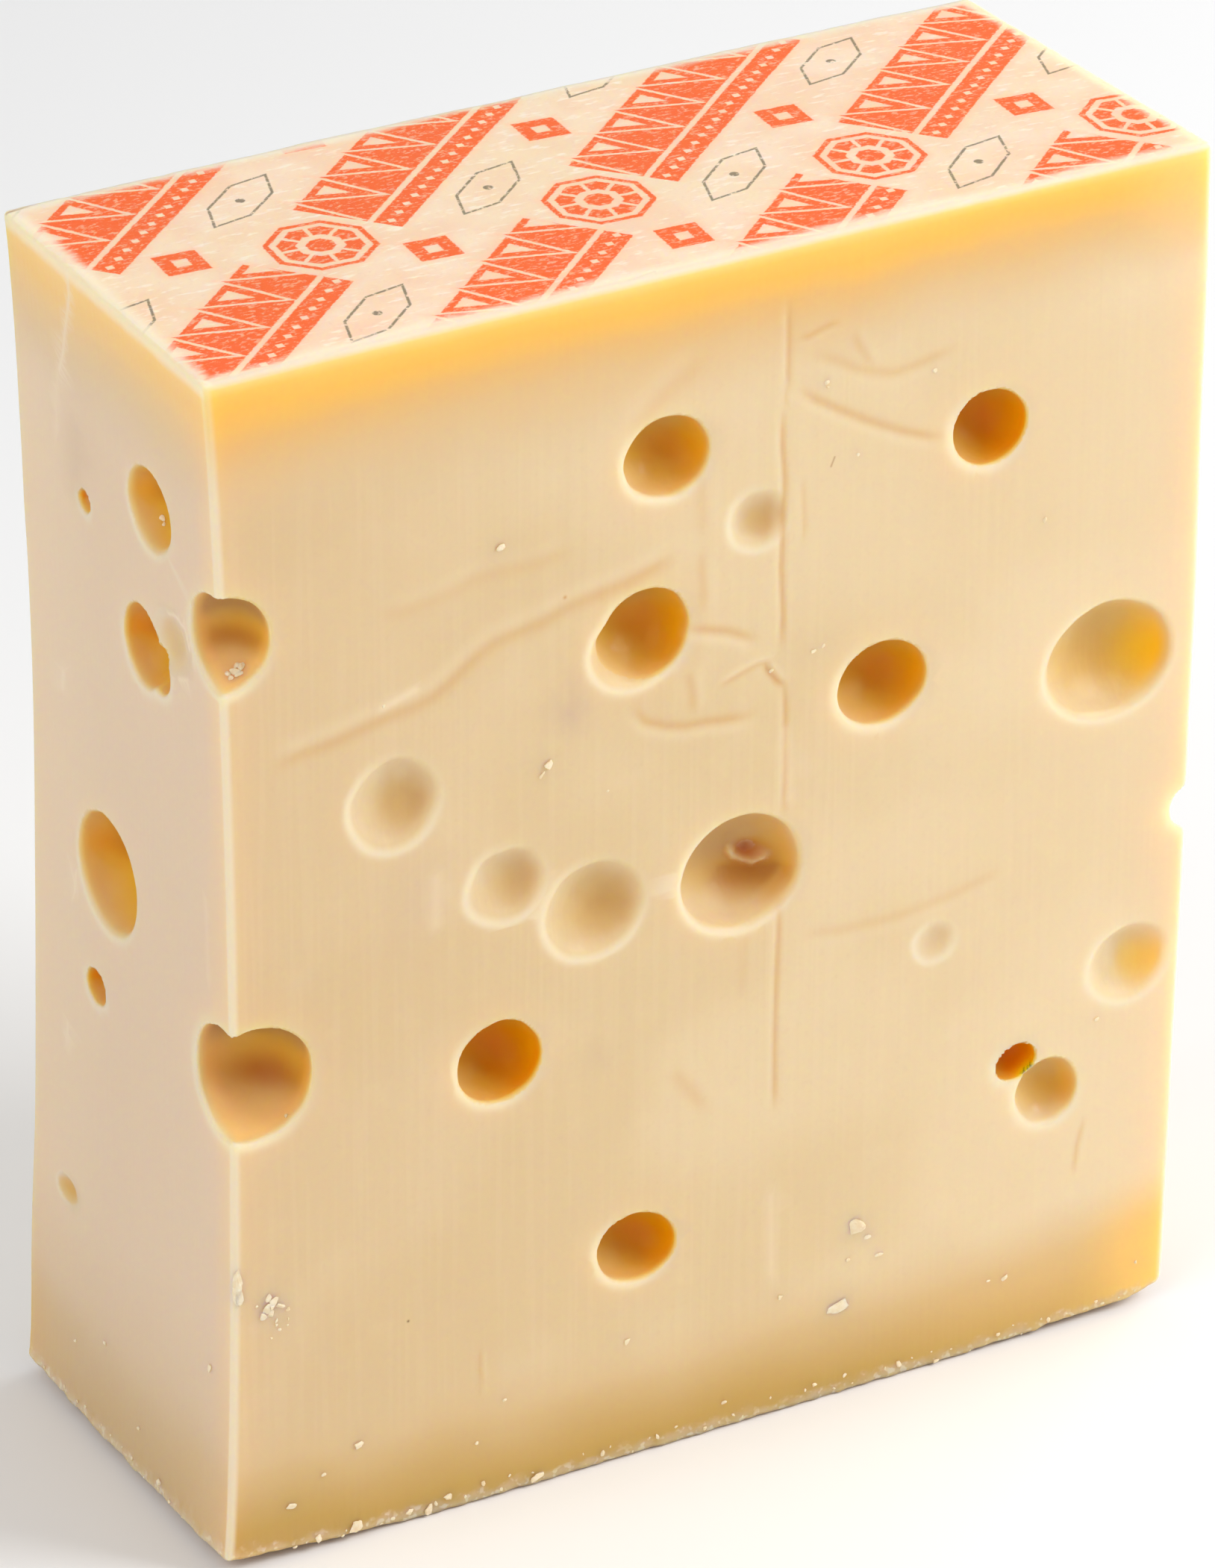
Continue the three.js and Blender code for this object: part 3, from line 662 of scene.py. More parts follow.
def finish_mesh(ob):
    me = ob.data
    n = len(me.vertices)
    co = np.empty(n * 3, np.float32)
    me.vertices.foreach_get("co", co)
    p = co.reshape(-1, 3).astype(np.float64) / MM
    p = settle(p, 1, 0.3)
    me.vertices.foreach_set("co", (p * MM).astype(np.float32).ravel())
    me.update()
    g = gradient(p)
    normal = g / np.maximum(np.linalg.norm(g, axis=1), 1e-9)[:, None]
    me.polygons.foreach_set("use_smooth", np.ones(len(me.polygons), bool))
    me.normals_split_custom_set_from_vertices(normal.astype(np.float32))

    out = {}
    got = look_up(p, ("body", "eye", "which", "painted_groove_shade", "pale", "lid", "pit", "scoop", "q"))
    q = got["q"]
    out["depth"] = np.clip(-got["body"], 0, 20)
    # how little cheese lies behind a point
    out["thin"] = 1 - np.clip(-in_batches(field, p - normal * 2.6) / 2.6, 0, 1)
    # Inside an eye: where the point lies in it, and the painted glow and painted shade of the paste there, deeper and
    # more orange away from the light.
    which = np.clip(got["which"], 0, None)
    centre = np.array([e["centre"] for e in EYES])[which]
    eye_depth = np.array([e["depth"] for e in EYES])[which]
    closed = np.array([e["closed"] for e in EYES])[which]
    height = np.array([e["axes"][2] for e in EYES])[which]
    size = np.array([e["size"] for e in EYES])[which]
    # distance from an eye's mouth, measured along the face
    slope = np.sqrt(1 - (1 - 2 * np.clip(closed, 0.02, 0.5)) ** 2)
    out["rim"] = np.clip(got["eye"], -3, 12) / np.where(got["eye"] > 0, np.maximum(slope, 0.45), 1)
    wide = which == FRONT_EYES.index(WIDE_EYE)
    edge_eye = which >= len(EYES) - len(EDGE_EYES)
    left_eye = (which >= len(FRONT_EYES) + len(BACK_EYES)) & (which < len(FRONT_EYES) + len(BACK_EYES) + len(LEFT_EYES))
    whole = closed
    closed = np.where(wide, 0.27, closed)
    rel = p - centre
    b = rel[:, 2] / height
    flat = rel / np.maximum(np.linalg.norm(rel, axis=1), 1e-6)[:, None]
    inside = (got["eye"] < 0.6) & (out["depth"] > 0.02)
    down = np.clip(out["depth"] / eye_depth, 0, 1)
    facing = normal @ np.array([0.66, -0.38, 0.65])
    painted_glow = closed * down ** (0.55 - 0.22 * step(0.55, 0.64, closed)) * (1.3 - 0.85 * facing) * (1 - 0.45 * step(-0.35, 0.5, b))
    # the floor of an eye is pale, where the light falls on it
    painted_glow *= 1 - 0.4 * step(0.4, 0.9, normal[:, 2]) * step(0.5, 0.38, closed)
    upper = 0.36 + step(-1.0, -0.3, flat[:, 2]) * 0.22 + step(-0.4, 0.1, flat[:, 2]) * 0.42
    deep_left = left_eye & (eye_depth > 1.5)
    painted_glow = np.where(deep_left, np.minimum(closed * 1.9, 0.85) * down ** 0.5 * upper, painted_glow)
    painted_glow *= np.where(edge_eye, 0.85 * (1 - 0.62 * step(0.15, 0.85, normal[:, 2])), 1)
    near_end = (size < 8) & (WIDTH - q[:, 0] < 18) & (q[:, 1] < 8) & (eye_depth < 3.5)
    painted_glow *= np.where(near_end, 0.6, 1)
    out["painted_glow"] = np.where(inside, np.clip(painted_glow, 0, 1.3), 0)
    # painted shade: the roof is greyer than the rest
    out["painted_grey_shade"] = inside * step(0.05, 0.75, b) * step(0.25, 0.38, closed) * 0.55
    out["painted_grey_shade"] = np.where(wide, inside * step(-0.42, 0.1, b) * step(1.0, 0.5, rel[:, 0] / size) * step(0.02, 0.2, down) * 0.8, out["painted_grey_shade"])
    # painted shade: the eyes on the upright edge are darkest where they are seen deepest
    round_z = np.arctan2(flat[:, 1], flat[:, 0]) - math.radians(45)
    sunk = flat[:, 2] + np.where(size > 9, 0.38, 0.29)
    out["core"] = inside * edge_eye * step(0.1, 0.45, down) * np.where(size > 9, 1.0, 0.8) * np.exp(-((sunk / np.where(size > 9, 0.31, 0.27)) ** 2) - ((round_z / 0.80) ** 2))
    out["core"] = np.where(deep_left, inside * 0.7 * step(-0.35, 0.1, flat[:, 2]) * step(0.35, 0.95, down), out["core"])
    # painted light on the floors of the eyes on the upright edge and painted shade on their roofs; painted golden glow
    # on their walls, and low to the right in the wide eye
    out["floor"] = inside * edge_eye * step(0.1, 0.65, normal[:, 2]) * step(0.04, 0.3, down)
    out["painted_roof_shade"] = inside * edge_eye * step(0.1, -0.45, normal[:, 2]) * step(0.04, 0.3, down)
    low_right = np.exp(-(((rel[:, 0] / size - 0.55) / 0.36) ** 2) - ((b + 0.32) / 0.32) ** 2)
    out["painted_gold_glow"] = inside * np.where(edge_eye, 0.8 * step(0.03, 0.25, down) * (1 - 0.5 * out["floor"]) * (1 - out["painted_roof_shade"]), 0)
    out["low"] = inside * wide * low_right * 0.78
    # painted shade: shallow dishes are deeper in tone right of the middle
    side = (rel[:, 0] / size - 0.38) ** 2 + (rel[:, 2] / size + 0.12) ** 2
    out["painted_dish_shade"] = inside * step(0.19, 0.14, closed) * np.exp(-side / 0.42) * step(0.1, 0.6, down) * step(14, 22, WIDTH - q[:, 0]) * step(0.5, 3.2, eye_depth) * np.where(np.abs(eye_depth - 1.6) < 0.05, 2.4, 1)
    # walls turned away from the light, which reaches them through the paste
    away = np.clip(normal @ np.array([-0.86, 0.50, -0.10]), 0, 1)
    out["warm"] = inside * away ** 0.8 * step(0.02, 0.35, down) * step(0.12, 0.34, whole * (0.4 + down)) * np.where(edge_eye, 0.15, 1) * np.where(wide, 0.7, 1)
    # the right end is thin enough for the light to come straight through
    spot = np.exp(-((b + 0.12) / np.where(size > 8, 0.66, 0.5)) ** 2) * np.where(size > 8, 1.0, 0.62)
    out["lit"] = inside * step(15, 6, WIDTH - q[:, 0]) * step(0.03, 0.36, down) * step(np.where(size > 8, -0.52, -0.30), 0.10, -normal[:, 0]) * spot
    # the dark under the crater's lip
    r = p - CRATER["centre"]
    out["shade"] = wide * inside * np.exp(-(((r[:, 2] + 3.4 - 0.12 * r[:, 0]) / 2.3) ** 2)) * step(-9.0, -2.5, r[:, 0]) * step(8.5, 5.0, r[:, 0]) * step(4.0, 2.5, -r[:, 1])
    # Around an eye: which way the point lies from its middle.
    out["lean"] = flat @ np.array([-0.55, 0.20, -0.78])
    out["east"] = flat @ np.array([0.90, -0.35, -0.15])
    # the sharp lower lips of the deeper eyes
    lip = np.exp(-(((out["rim"] - 0.15) / 0.5) ** 2)) * step(0.9, 0.3, out["depth"]) * step(0.18, 0.32, whole)
    out["lip"] = lip * step(-0.8, 0.4, out["lean"]) * np.where(left_eye, 0.45, 1)

    # Slow changes of tone, in the paste and in the rind.
    out["cloud"] = noise(p, 30, 41) + 0.4 * noise(p, 13, 42)
    out["wave"] = 0.7 * noise(p, 14, 43) + 0.35 * noise(p, 6, 44)
    out["mottle"] = 0.7 * noise(p, 6, 45) + 0.4 * noise(p, 3, 46)
    out["crumble"] = 0.7 * noise(p, 2.1, 47) + 0.4 * noise(p, 1.2, 48)
    s = p[:, 0] + WIDTH / 2 - SHIFT_X
    on_front, on_left = (q[:, 1] < 2) & (normal[:, 1] < -0.5), (q[:, 0] < 2) & (normal[:, 0] < -0.5)
    for name, table in (("scar", SCARS), ("stain", STAINS)):
        out[name] = mark_field(table, on_front, on_left, s, p[:, 1] + DEPTH / 2 - SHIFT_Y, p[:, 2] - DATUM)
    out["painted_crease_shade"], out["painted_crest_highlight"] = got["painted_groove_shade"], got["pale"]
    out["lid"], out["pit"] = got["lid"], got["pit"]
    out["from_top"] = RIND - q[:, 2]
    out["from_base"] = q[:, 2]
    out["from_left"] = q[:, 0]
    out["from_right"] = WIDTH - q[:, 0]
    out["from_front"] = q[:, 1]
    out["rind_top"] = step(0.55, 0.9, normal[:, 2]) * step(-2.2, -0.7, -out["from_top"])
    out["rind_base"] = step(0.35, 0.8, -normal[:, 2]) * step(-3.0, -1.2, -out["from_base"])
    # kept three to an attribute, which the renderer reads faster
    names = list(out)
    for k in range(0, len(names), 3):
        group = names[k:k + 3]
        block = np.zeros((len(p), 3), np.float32)
        for j, name in enumerate(group):
            block[:, j] = out[name]
            PACKED[name] = ("marks_%d" % (k // 3), j)
        a = me.attributes.new("marks_%d" % (k // 3), "FLOAT_VECTOR", "POINT")
        a.data.foreach_set("vector", block.ravel())
    return out


cheese = build_mesh("cheese_surface", 0.5, 195_000)
marks = finish_mesh(cheese)
print("mesh finished at %.1f s" % (time.perf_counter() - T0))


# =============================================================================
# Finish
# =============================================================================
def srgb(r, g, b):
    def lin(c):
        c /= 255
        return c / 12.92 if c <= 0.04045 else ((c + 0.055) / 1.055) ** 2.4
    return (lin(r), lin(g), lin(b), 1)


class Wire:
    """A number in a node tree that plain arithmetic can be written with."""

    def __init__(self, g, socket):
        self.g, self.socket = g, socket

    def __add__(self, o): return self.g.math("ADD", self, o)
    def __radd__(self, o): return self.g.math("ADD", o, self)
    def __sub__(self, o): return self.g.math("SUBTRACT", self, o)
    def __rsub__(self, o): return self.g.math("SUBTRACT", o, self)
    def __mul__(self, o): return self.g.math("MULTIPLY", self, o)
    def __rmul__(self, o): return self.g.math("MULTIPLY", o, self)
    def __truediv__(self, o): return self.g.math("DIVIDE", self, o)
    def __neg__(self): return self.g.math("MULTIPLY", self, -1.0)
    def __pow__(self, o): return self.g.math("POWER", self, o)
    def clip(self): return self.g.clip(self)


class Graph:
    """A material's node tree, written as expressions."""

    def __init__(self, name):
        self.material = bpy.data.materials.new(name)
        self.material.use_nodes = True
        self.tree = self.material.node_tree
        self.bsdf = self.tree.nodes["Principled BSDF"]
        self.cache = {}

    def node(self, kind, **props):
        n = self.tree.nodes.new(kind)
        for k, v in props.items():
            setattr(n, k, v)
        return n

    def feed(self, socket, value):
        if isinstance(value, Wire):
            self.tree.links.new(value.socket, socket)
        else:
            socket.default_value = value

    def math(self, op, a, b=None, c=None, clamp=False):
        n = self.node("ShaderNodeMath", operation=op, use_clamp=clamp)
        for k, v in enumerate((a, b, c)):
            if v is not None:
                self.feed(n.inputs[k], v)
        return Wire(self, n.outputs[0])

    def clip(self, a): return self.math("ADD", a, 0.0, clamp=True)
    def least(self, a, b): return self.math("MINIMUM", a, b)
    def most(self, a, b): return self.math("MAXIMUM", a, b)
    def size(self, a): return self.math("ABSOLUTE", a)
    def floor(self, a): return self.math("FLOOR", a)
    def wrap(self, a, period): return self.math("FLOORED_MODULO", a, period)
    def bounce(self, a, half): return self.math("PINGPONG", a, half)
    def root(self, a): return self.math("SQRT", a)
    def hill(self, x, middle, half):
        """1 at the middle, falling off as a bell."""
        return self.math("EXPONENT", ((x - middle) * (1.0 / half)) ** 2.0 * -1.0)

    def spot(self, x, y, at_x, at_y, half):
        return self.math("EXPONENT", ((x - at_x) ** 2.0 + (y - at_y) ** 2.0) * (-1.0 / half ** 2))

    def stroke(self, x, y, start, end, half):
        """A soft straight line from start to end."""
        length = math.hypot(end[0] - start[0], end[1] - start[1])
        ex, ey = (end[0] - start[0]) / length, (end[1] - start[1]) / length
        along = (x - start[0]) * ex + (y - start[1]) * ey
        across = (x - start[0]) * ey - (y - start[1]) * ex
        past = self.most(self.most(-along, along - length), 0.0)
        return self.math("EXPONENT", (past ** 2.0 + across ** 2.0) * (-1.0 / half ** 2))

    def step(self, a, b, x, low=0.0, high=1.0):
        """Smoothly from low to high as x goes from a to b; a may be over b."""
        n = self.node("ShaderNodeMapRange", interpolation_type="SMOOTHSTEP", clamp=True)
        if a > b:
            a, b, low, high = b, a, high, low
        self.feed(n.inputs["Value"], x)
        n.inputs["From Min"].default_value, n.inputs["From Max"].default_value = a, b
        n.inputs["To Min"].default_value, n.inputs["To Max"].default_value = low, high
        return Wire(self, n.outputs[0])

    def attribute(self, name):
        group, place = PACKED[name]
        if group not in self.cache:
            n = self.node("ShaderNodeAttribute", attribute_type="GEOMETRY", attribute_name=group)
            s = self.node("ShaderNodeSeparateXYZ")
            self.tree.links.new(n.outputs["Vector"], s.inputs[0])
            self.cache[group] = [Wire(self, o) for o in s.outputs]
        return self.cache[group][place]

    def place(self):
        """The object's own coordinates, in millimetres."""
        if "place" not in self.cache:
            n = self.node("ShaderNodeTexCoord")
            m = self.node("ShaderNodeVectorMath", operation="SCALE")
            m.inputs["Scale"].default_value = 1000.0
            self.tree.links.new(n.outputs["Object"], m.inputs[0])
            s = self.node("ShaderNodeSeparateXYZ")
            self.tree.links.new(m.outputs[0], s.inputs[0])
            self.cache["place"] = (Wire(self, m.outputs[0]), *[Wire(self, o) for o in s.outputs])
        return self.cache["place"]

    def vector(self, x, y, z):
        n = self.node("ShaderNodeCombineXYZ")
        for k, v in enumerate((x, y, z)):
            self.feed(n.inputs[k], v)
        return Wire(self, n.outputs[0])

    def noise(self, size, detail=2.0, rough=0.5, at=None, warp=0.0, w=None):
        """Noise from 0 to 1, with features about size mm apart."""
        n = self.node("ShaderNodeTexNoise", noise_dimensions="4D" if w is not None else "3D")
        self.feed(n.inputs["Vector"], at if at is not None else self.place()[0])
        if w is not None:
            n.inputs["W"].default_value = w
        n.inputs["Scale"].default_value = 1.0 / size
        n.inputs["Detail"].default_value = detail
        n.inputs["Roughness"].default_value = rough
        n.inputs["Distortion"].default_value = warp
        return Wire(self, n.outputs["Fac"])

    def mix(self, a, b, t):
        """Colour a turning into colour b as t goes from 0 to 1."""
        n = self.node("ShaderNodeMix", data_type="RGBA", clamp_factor=True)
        self.feed(n.inputs[0], t)
        self.feed(n.inputs[6], a)
        self.feed(n.inputs[7], b)
        return Wire(self, n.outputs[2])

    def ramp(self, x, low, high, stops):
        """A colour ramp over low to high of x; stops are (x, colour)."""
        r = self.node("ShaderNodeValToRGB")
        cr = r.color_ramp
        cr.interpolation = "LINEAR"
        while len(cr.elements) < len(stops):
            cr.elements.new(0.5)
        for e, (at, c) in zip(cr.elements, stops):
            e.position = (at - low) / (high - low)
        for e, (at, c) in zip(cr.elements, stops):
            e.color = c
        n = self.node("ShaderNodeMapRange", clamp=True)
        self.feed(n.inputs["Value"], x)
        n.inputs["From Min"].default_value, n.inputs["From Max"].default_value = low, high
        self.tree.links.new(n.outputs[0], r.inputs[0])
        return Wire(self, r.outputs[0])


def cheese_material(name, printed):
    g = Graph(name)
    P, X, Y, Z = g.place()
    S, H = X + (WIDTH / 2 - SHIFT_X), Z - DATUM  # along the long face, height
    B = Y + (DEPTH / 2 - SHIFT_Y)
    b = g.bsdf
    at = g.attribute
    normal = g.node("ShaderNodeNewGeometry")
    split = g.node("ShaderNodeSeparateXYZ")
    g.tree.links.new(normal.outputs["Normal"], split.inputs[0])
    nx, ny, nz = (Wire(g, o) for o in split.outputs)
    front = g.step(-0.5, -0.9, ny) * g.step(2.2, 0.4, at("depth"))
    left = g.step(-0.55, -0.95, nx) * g.step(3, 0, at("depth"))

    # ---- the cut paste
    mottle, wave = at("mottle"), at("wave")
    fine = g.noise(1.3, 1, 0.6)
    drag = g.noise(1.0, 0, 0.5, at=g.vector(X * 1.1, Y * 1.1, Z * 0.035))
    paste = g.mix(srgb(227, 204, 164), srgb(222, 197, 154), g.step(-0.5, 0.5, at("cloud")))
    # painted shade darkens the long face towards its left end
    paste = g.mix(paste, srgb(218, 189, 146), g.step(85, 0, at("from_left")) * front * 0.7)
    paste = g.mix(paste, srgb(238, 220, 184), g.step(0.1, 0.8, mottle) * 0.10)
    paste = g.mix(paste, srgb(210, 180, 138), g.step(0.52, 0.85, fine) * 0.12)
    paste = g.mix(paste, srgb(236, 217, 180), g.step(0.45, 0.75, drag) * 0.08)
    # painted light brightens the long face towards its right end, where light from the right comes through the paste
    paste = g.mix(paste, srgb(236, 214, 177), g.step(95, 168, at("from_left")) * front * 0.5)
    # the short end on the left is pinker, and lighter towards the back
    paste = g.mix(paste, srgb(229, 199, 164), left * 0.85)
    paste = g.mix(paste, srgb(237, 211, 172), left * g.step(38, 62, at("from_front")) * 0.55)

    paste = g.mix(paste, srgb(233, 203, 154), left * g.step(6.5, 3.5, at("from_front") + wave * 0.5 - g.hill(H, 103.0, 14.0) * 2.5) * 0.6)

    # ---- bands under the two rinds: the paste's own richer tone there, with painted glow under the top rind and painted shade above the base
    t = at("from_top") * g.step(60, 130, at("from_left"), 1.0, 1.2) + wave * 1.8 * g.step(1.0, 5.0, at("from_top"))
    top_band = g.ramp(t, 0, 28, [
        (0, srgb(245, 222, 192)), (0.5, srgb(248, 216, 166)), (1.2, srgb(251, 207, 128)), (2.6, srgb(247, 198, 96)), (5.0, srgb(242, 192, 90)),
        (7.5, srgb(237, 190, 102)), (10.0, srgb(230, 187, 119)), (14.0, srgb(225, 190, 136)), (20.0, srgb(224, 193, 147)),
        (28.0, srgb(223, 197, 155))])
    paste = g.mix(paste, top_band, g.step(26, 12, t))
    # painted glow under the top rind on the left face
    paste = g.mix(paste, srgb(255, 226, 170), left * g.step(22, 8, t) * g.step(0.5, 2.0, t) * 0.26)
    # the rind is thicker to the eye where the left face meets it
    paste = g.mix(paste, srgb(244, 222, 192), left * g.step(2.9, 1.1, at("from_top") + at("crumble") * 0.4) * 0.85)
    # painted glow under the top rind near the right end, where the light comes through
    paste = g.mix(paste, srgb(250, 214, 140), g.step(150, 168, at("from_left")) * g.step(22, 10, t) * g.step(0.6, 2.4, t) * front * 0.45)
    t = at("from_base") + wave * 1.8
    base_band = g.ramp(t, 0, 28, [
        (0, srgb(196, 159, 92)), (4, srgb(200, 163, 90)), (8, srgb(206, 171, 108)), (12, srgb(213, 181, 127)),
        (17, srgb(219, 189, 141)), (28, srgb(223, 196, 152))])
    paste = g.mix(paste, base_band, g.step(24, 12, t))
    # painted shade on the left face towards the base
    paste = g.mix(paste, srgb(205, 167, 108), left * g.step(44, 6, at("from_base")) * 0.5)
    ends = g.step(22, 4, at("from_front")) + g.step(DEPTH - 22, DEPTH - 4, at("from_front"))
    paste = g.mix(paste, srgb(222, 178, 98), left * ends * g.step(22, 8, at("from_base")) * 0.4)
    # painted glow at the lower right corner and along the lower right of the long face, where light from the right
    # comes through the paste
    painted_corner_glow = g.step(20, 3, at("from_right")) * g.step(26, 9, at("from_base"))
    paste = g.mix(paste, srgb(249, 202, 106), painted_corner_glow * g.step(-0.1, -0.6, ny) * 0.9)
    paste = g.mix(paste, srgb(240, 196, 126), g.step(62, 18, at("from_right")) * g.step(22, 8, at("from_base")) * front * 0.3)
    # where the lower rind was cut through it is pale and crumbly
    crumbly = g.step(2.8, 0.9, at("from_base") + at("crumble") * 1.3)
    paste = g.mix(paste, srgb(214, 180, 144), crumbly * 0.75)
    paste = g.mix(paste, srgb(236, 216, 188), crumbly * g.step(0.52, 0.66, fine) * 0.7)
    paste = g.mix(paste, srgb(176, 132, 88), g.step(0.75, 0.25, at("from_base") + (fine - 0.5) * 0.6) * 0.55)

    # ---- a painted highlight, paler, along the upright edge at the front left
    edge = g.step(1.6, 0.5, at("from_left")) * g.step(0.2, -0.35, ny) * g.step(1.0, 0.3, at("depth"))
    paste = g.mix(paste, srgb(228, 212, 196), edge * g.step(5, 22, at("from_top"), 0.4, 0.85))
    # the sharp edges that catch the light
    inward = g.least(g.least(at("from_left"), at("from_right")), g.least(at("from_front"), DEPTH - at("from_front")))
    bright = g.step(1.3, 0.2, at("from_top")) * g.step(1.5, 0.3, inward) * g.step(0.6, 2.4, at("from_left"), 0.3, 1.0)
    upright = g.step(1.8, 0.4, at("from_right")) * g.step(1.8, 0.5, at("from_front"))
    bright = g.most(bright, upright)

    # ---- pale rims, partly a real smear and partly painted light whiter to the lower left, with painted shade duller to the right
    around = g.hill(at("rim"), 0.8, 0.95) * g.step(0.55, 0.1, at("depth"))
    paste = g.mix(paste, srgb(232, 216, 188), around * g.step(-0.7, 0.5, at("lean")) * 0.8)
    paste = g.mix(paste, srgb(214, 190, 158), g.hill(at("rim"), 0.9, 1.6) * g.step(0.25, 0.9, at("east")) * g.step(0.6, 0.1, at("depth")) * g.step(150, 130, at("from_left")) * 0.5)

    # their sharp lower lips, thin enough for the light to whiten them
    paste = g.mix(paste, srgb(220, 203, 184), at("lip") * 0.6)

    # ---- inside the eyes, painted glow and painted shade make the paste deeper and more orange
    painted_glow = at("painted_glow")
    inner = g.ramp(painted_glow, 0, 1.2, [
        (0, srgb(226, 203, 162)), (0.1, srgb(224, 193, 138)), (0.2, srgb(224, 182, 106)), (0.35, srgb(225, 171, 60)),
        (0.5, srgb(230, 161, 20)), (0.7, srgb(234, 151, 0)), (0.95, srgb(237, 143, 0)), (1.2, srgb(238, 139, 0))])
    paste = g.mix(paste, inner, g.step(0.0, 0.12, painted_glow))
    # painted shade in the shallow dishes and under the roofs, painted light on walls lit through the paste and on
    # floors, painted golden glow, painted shade in the dark cores
    paste = g.mix(paste, srgb(207, 158, 86), at("painted_dish_shade") * 0.72)
    paste = g.mix(paste, srgb(212, 172, 116), at("painted_grey_shade"))
    paste = g.mix(paste, srgb(240, 184, 0), at("warm") * 0.85)
    paste = g.mix(paste, srgb(180, 128, 72), at("painted_roof_shade") * 0.7)
    paste = g.mix(paste, srgb(252, 214, 136), at("floor") * 0.65)
    paste = g.mix(paste, srgb(236, 182, 60), at("painted_gold_glow") * 0.6)
    paste = g.mix(paste, srgb(214, 156, 44), at("low"))
    paste = g.mix(paste, srgb(189, 107, 0), at("core") * 0.9)
    paste = g.mix(paste, srgb(243, 199, 0), at("lit"))
    paste = g.mix(paste, srgb(196, 124, 36), at("shade") * 0.75)
    # painted highlight on the crater's lid and painted shade in its pit
    paste = g.mix(paste, srgb(236, 213, 180), at("lid") * 0.8)
    paste = g.mix(paste, srgb(216, 134, 52), at("pit") * 0.9)

    # ---- painted shade in the folds and knife marks and painted highlight on their lips; scratches and bruises, a speck and a hair
    paste = g.mix(paste, srgb(214, 166, 98), at("painted_crease_shade") * 0.64)
    paste = g.mix(paste, srgb(234, 215, 182), at("painted_crest_highlight") * 0.35)
    paste = g.mix(paste, srgb(242, 224, 196), at("scar"))
    paste = g.mix(paste, srgb(206, 178, 152), at("stain"))
    for x, h, half, colour, amount in ((31.8, 34.2, 0.22, (122, 84, 50), 0.9), (58.7, 151.9, 0.3, (206, 150, 88), 0.8)):
        paste = g.mix(paste, srgb(*colour), g.spot(S, H, x, h, half) * front * amount)
    paste = g.mix(paste, srgb(188, 148, 112), g.stroke(S, H, (104.9, 164.2), (104.3, 162.8), 0.16) * front * 0.8)

    # ---- rind
    if printed:
        grain = g.noise(0.9, 2, 0.65)
        fleck = g.noise(1.0, 2, 0.6, at=g.vector(X * 0.30, Y * 0.9, Z))
        rind = g.mix(srgb(247, 220, 192), srgb(243, 208, 176), g.step(-0.5, 0.5, mottle))
        rind = g.mix(rind, srgb(238, 216, 178), g.step(0.1, 0.8, at("cloud")) * 0.45)
        rind = g.mix(rind, srgb(251, 235, 216), g.step(0.54, 0.72, fleck) * 0.75)
        rind = g.mix(rind, srgb(232, 198, 164), g.step(0.55, 0.8, grain) * 0.35)
        rind = rind_print(g, rind, grain)
        rind = g.mix(rind, srgb(247, 228, 206), g.step(3.4, 1.0, inward + wave * 0.9 + (fleck - 0.5) * 2.0) * 0.85)
        # a dried crack across the corner at the back left
        crack = g.most(g.stroke(S, B, (-0.4, 65.6), (3.8, 66.2), 0.28), g.stroke(S, B, (3.8, 66.2), (10.4, 68.3), 0.28))
        rind = g.mix(rind, srgb(150, 112, 88), crack * 0.85)
        colour = g.mix(paste, rind, at("rind_top"))
        relief = (grain - 0.5) * 0.07 + (fleck - 0.5) * 0.06
        skin = at("rind_top")
    else:
        under = g.mix(srgb(206, 168, 120), srgb(186, 144, 96), g.step(-0.5, 0.5, at("crumble")))
        under = g.mix(under, srgb(226, 198, 160), g.step(0.52, 0.7, fine) * 0.5)
        colour = g.mix(paste, under, at("rind_base"))
        relief = (fine - 0.5) * 0.12
        skin = at("rind_base")

    colour = g.mix(colour, srgb(222, 204, 190), bright * 0.85)
    colour = g.mix(colour, srgb(216, 205, 210), upright * g.step(0.1, 0.6, nx) * 0.5)

    # ---- relief too fine for the mesh, in millimetres
    cut = (drag - 0.5) * 0.04 + (fine - 0.5) * (0.02 + crumbly * 0.14)
    bump = g.node("ShaderNodeBump")
    bump.inputs["Strength"].default_value = 1.0
    bump.inputs["Distance"].default_value = MM
    g.feed(bump.inputs["Height"], cut + (relief - cut) * skin)
    g.tree.links.new(bump.outputs[0], b.inputs["Normal"])

    g.feed(b.inputs["Base Color"], colour)
    g.feed(b.inputs["Roughness"], g.least(g.most(0.44 + mottle * 0.08 + (fine - 0.5) * 0.12 + skin * 0.12, 0.3), 0.75))
    b.inputs["Specular IOR Level"].default_value = 0.25
    b.inputs["Subsurface Weight"].default_value = 1.0
    b.inputs["Subsurface Radius"].default_value = (1.0, 0.70, 0.15)
    b.inputs["Subsurface Scale"].default_value = 0.008
    return g.material


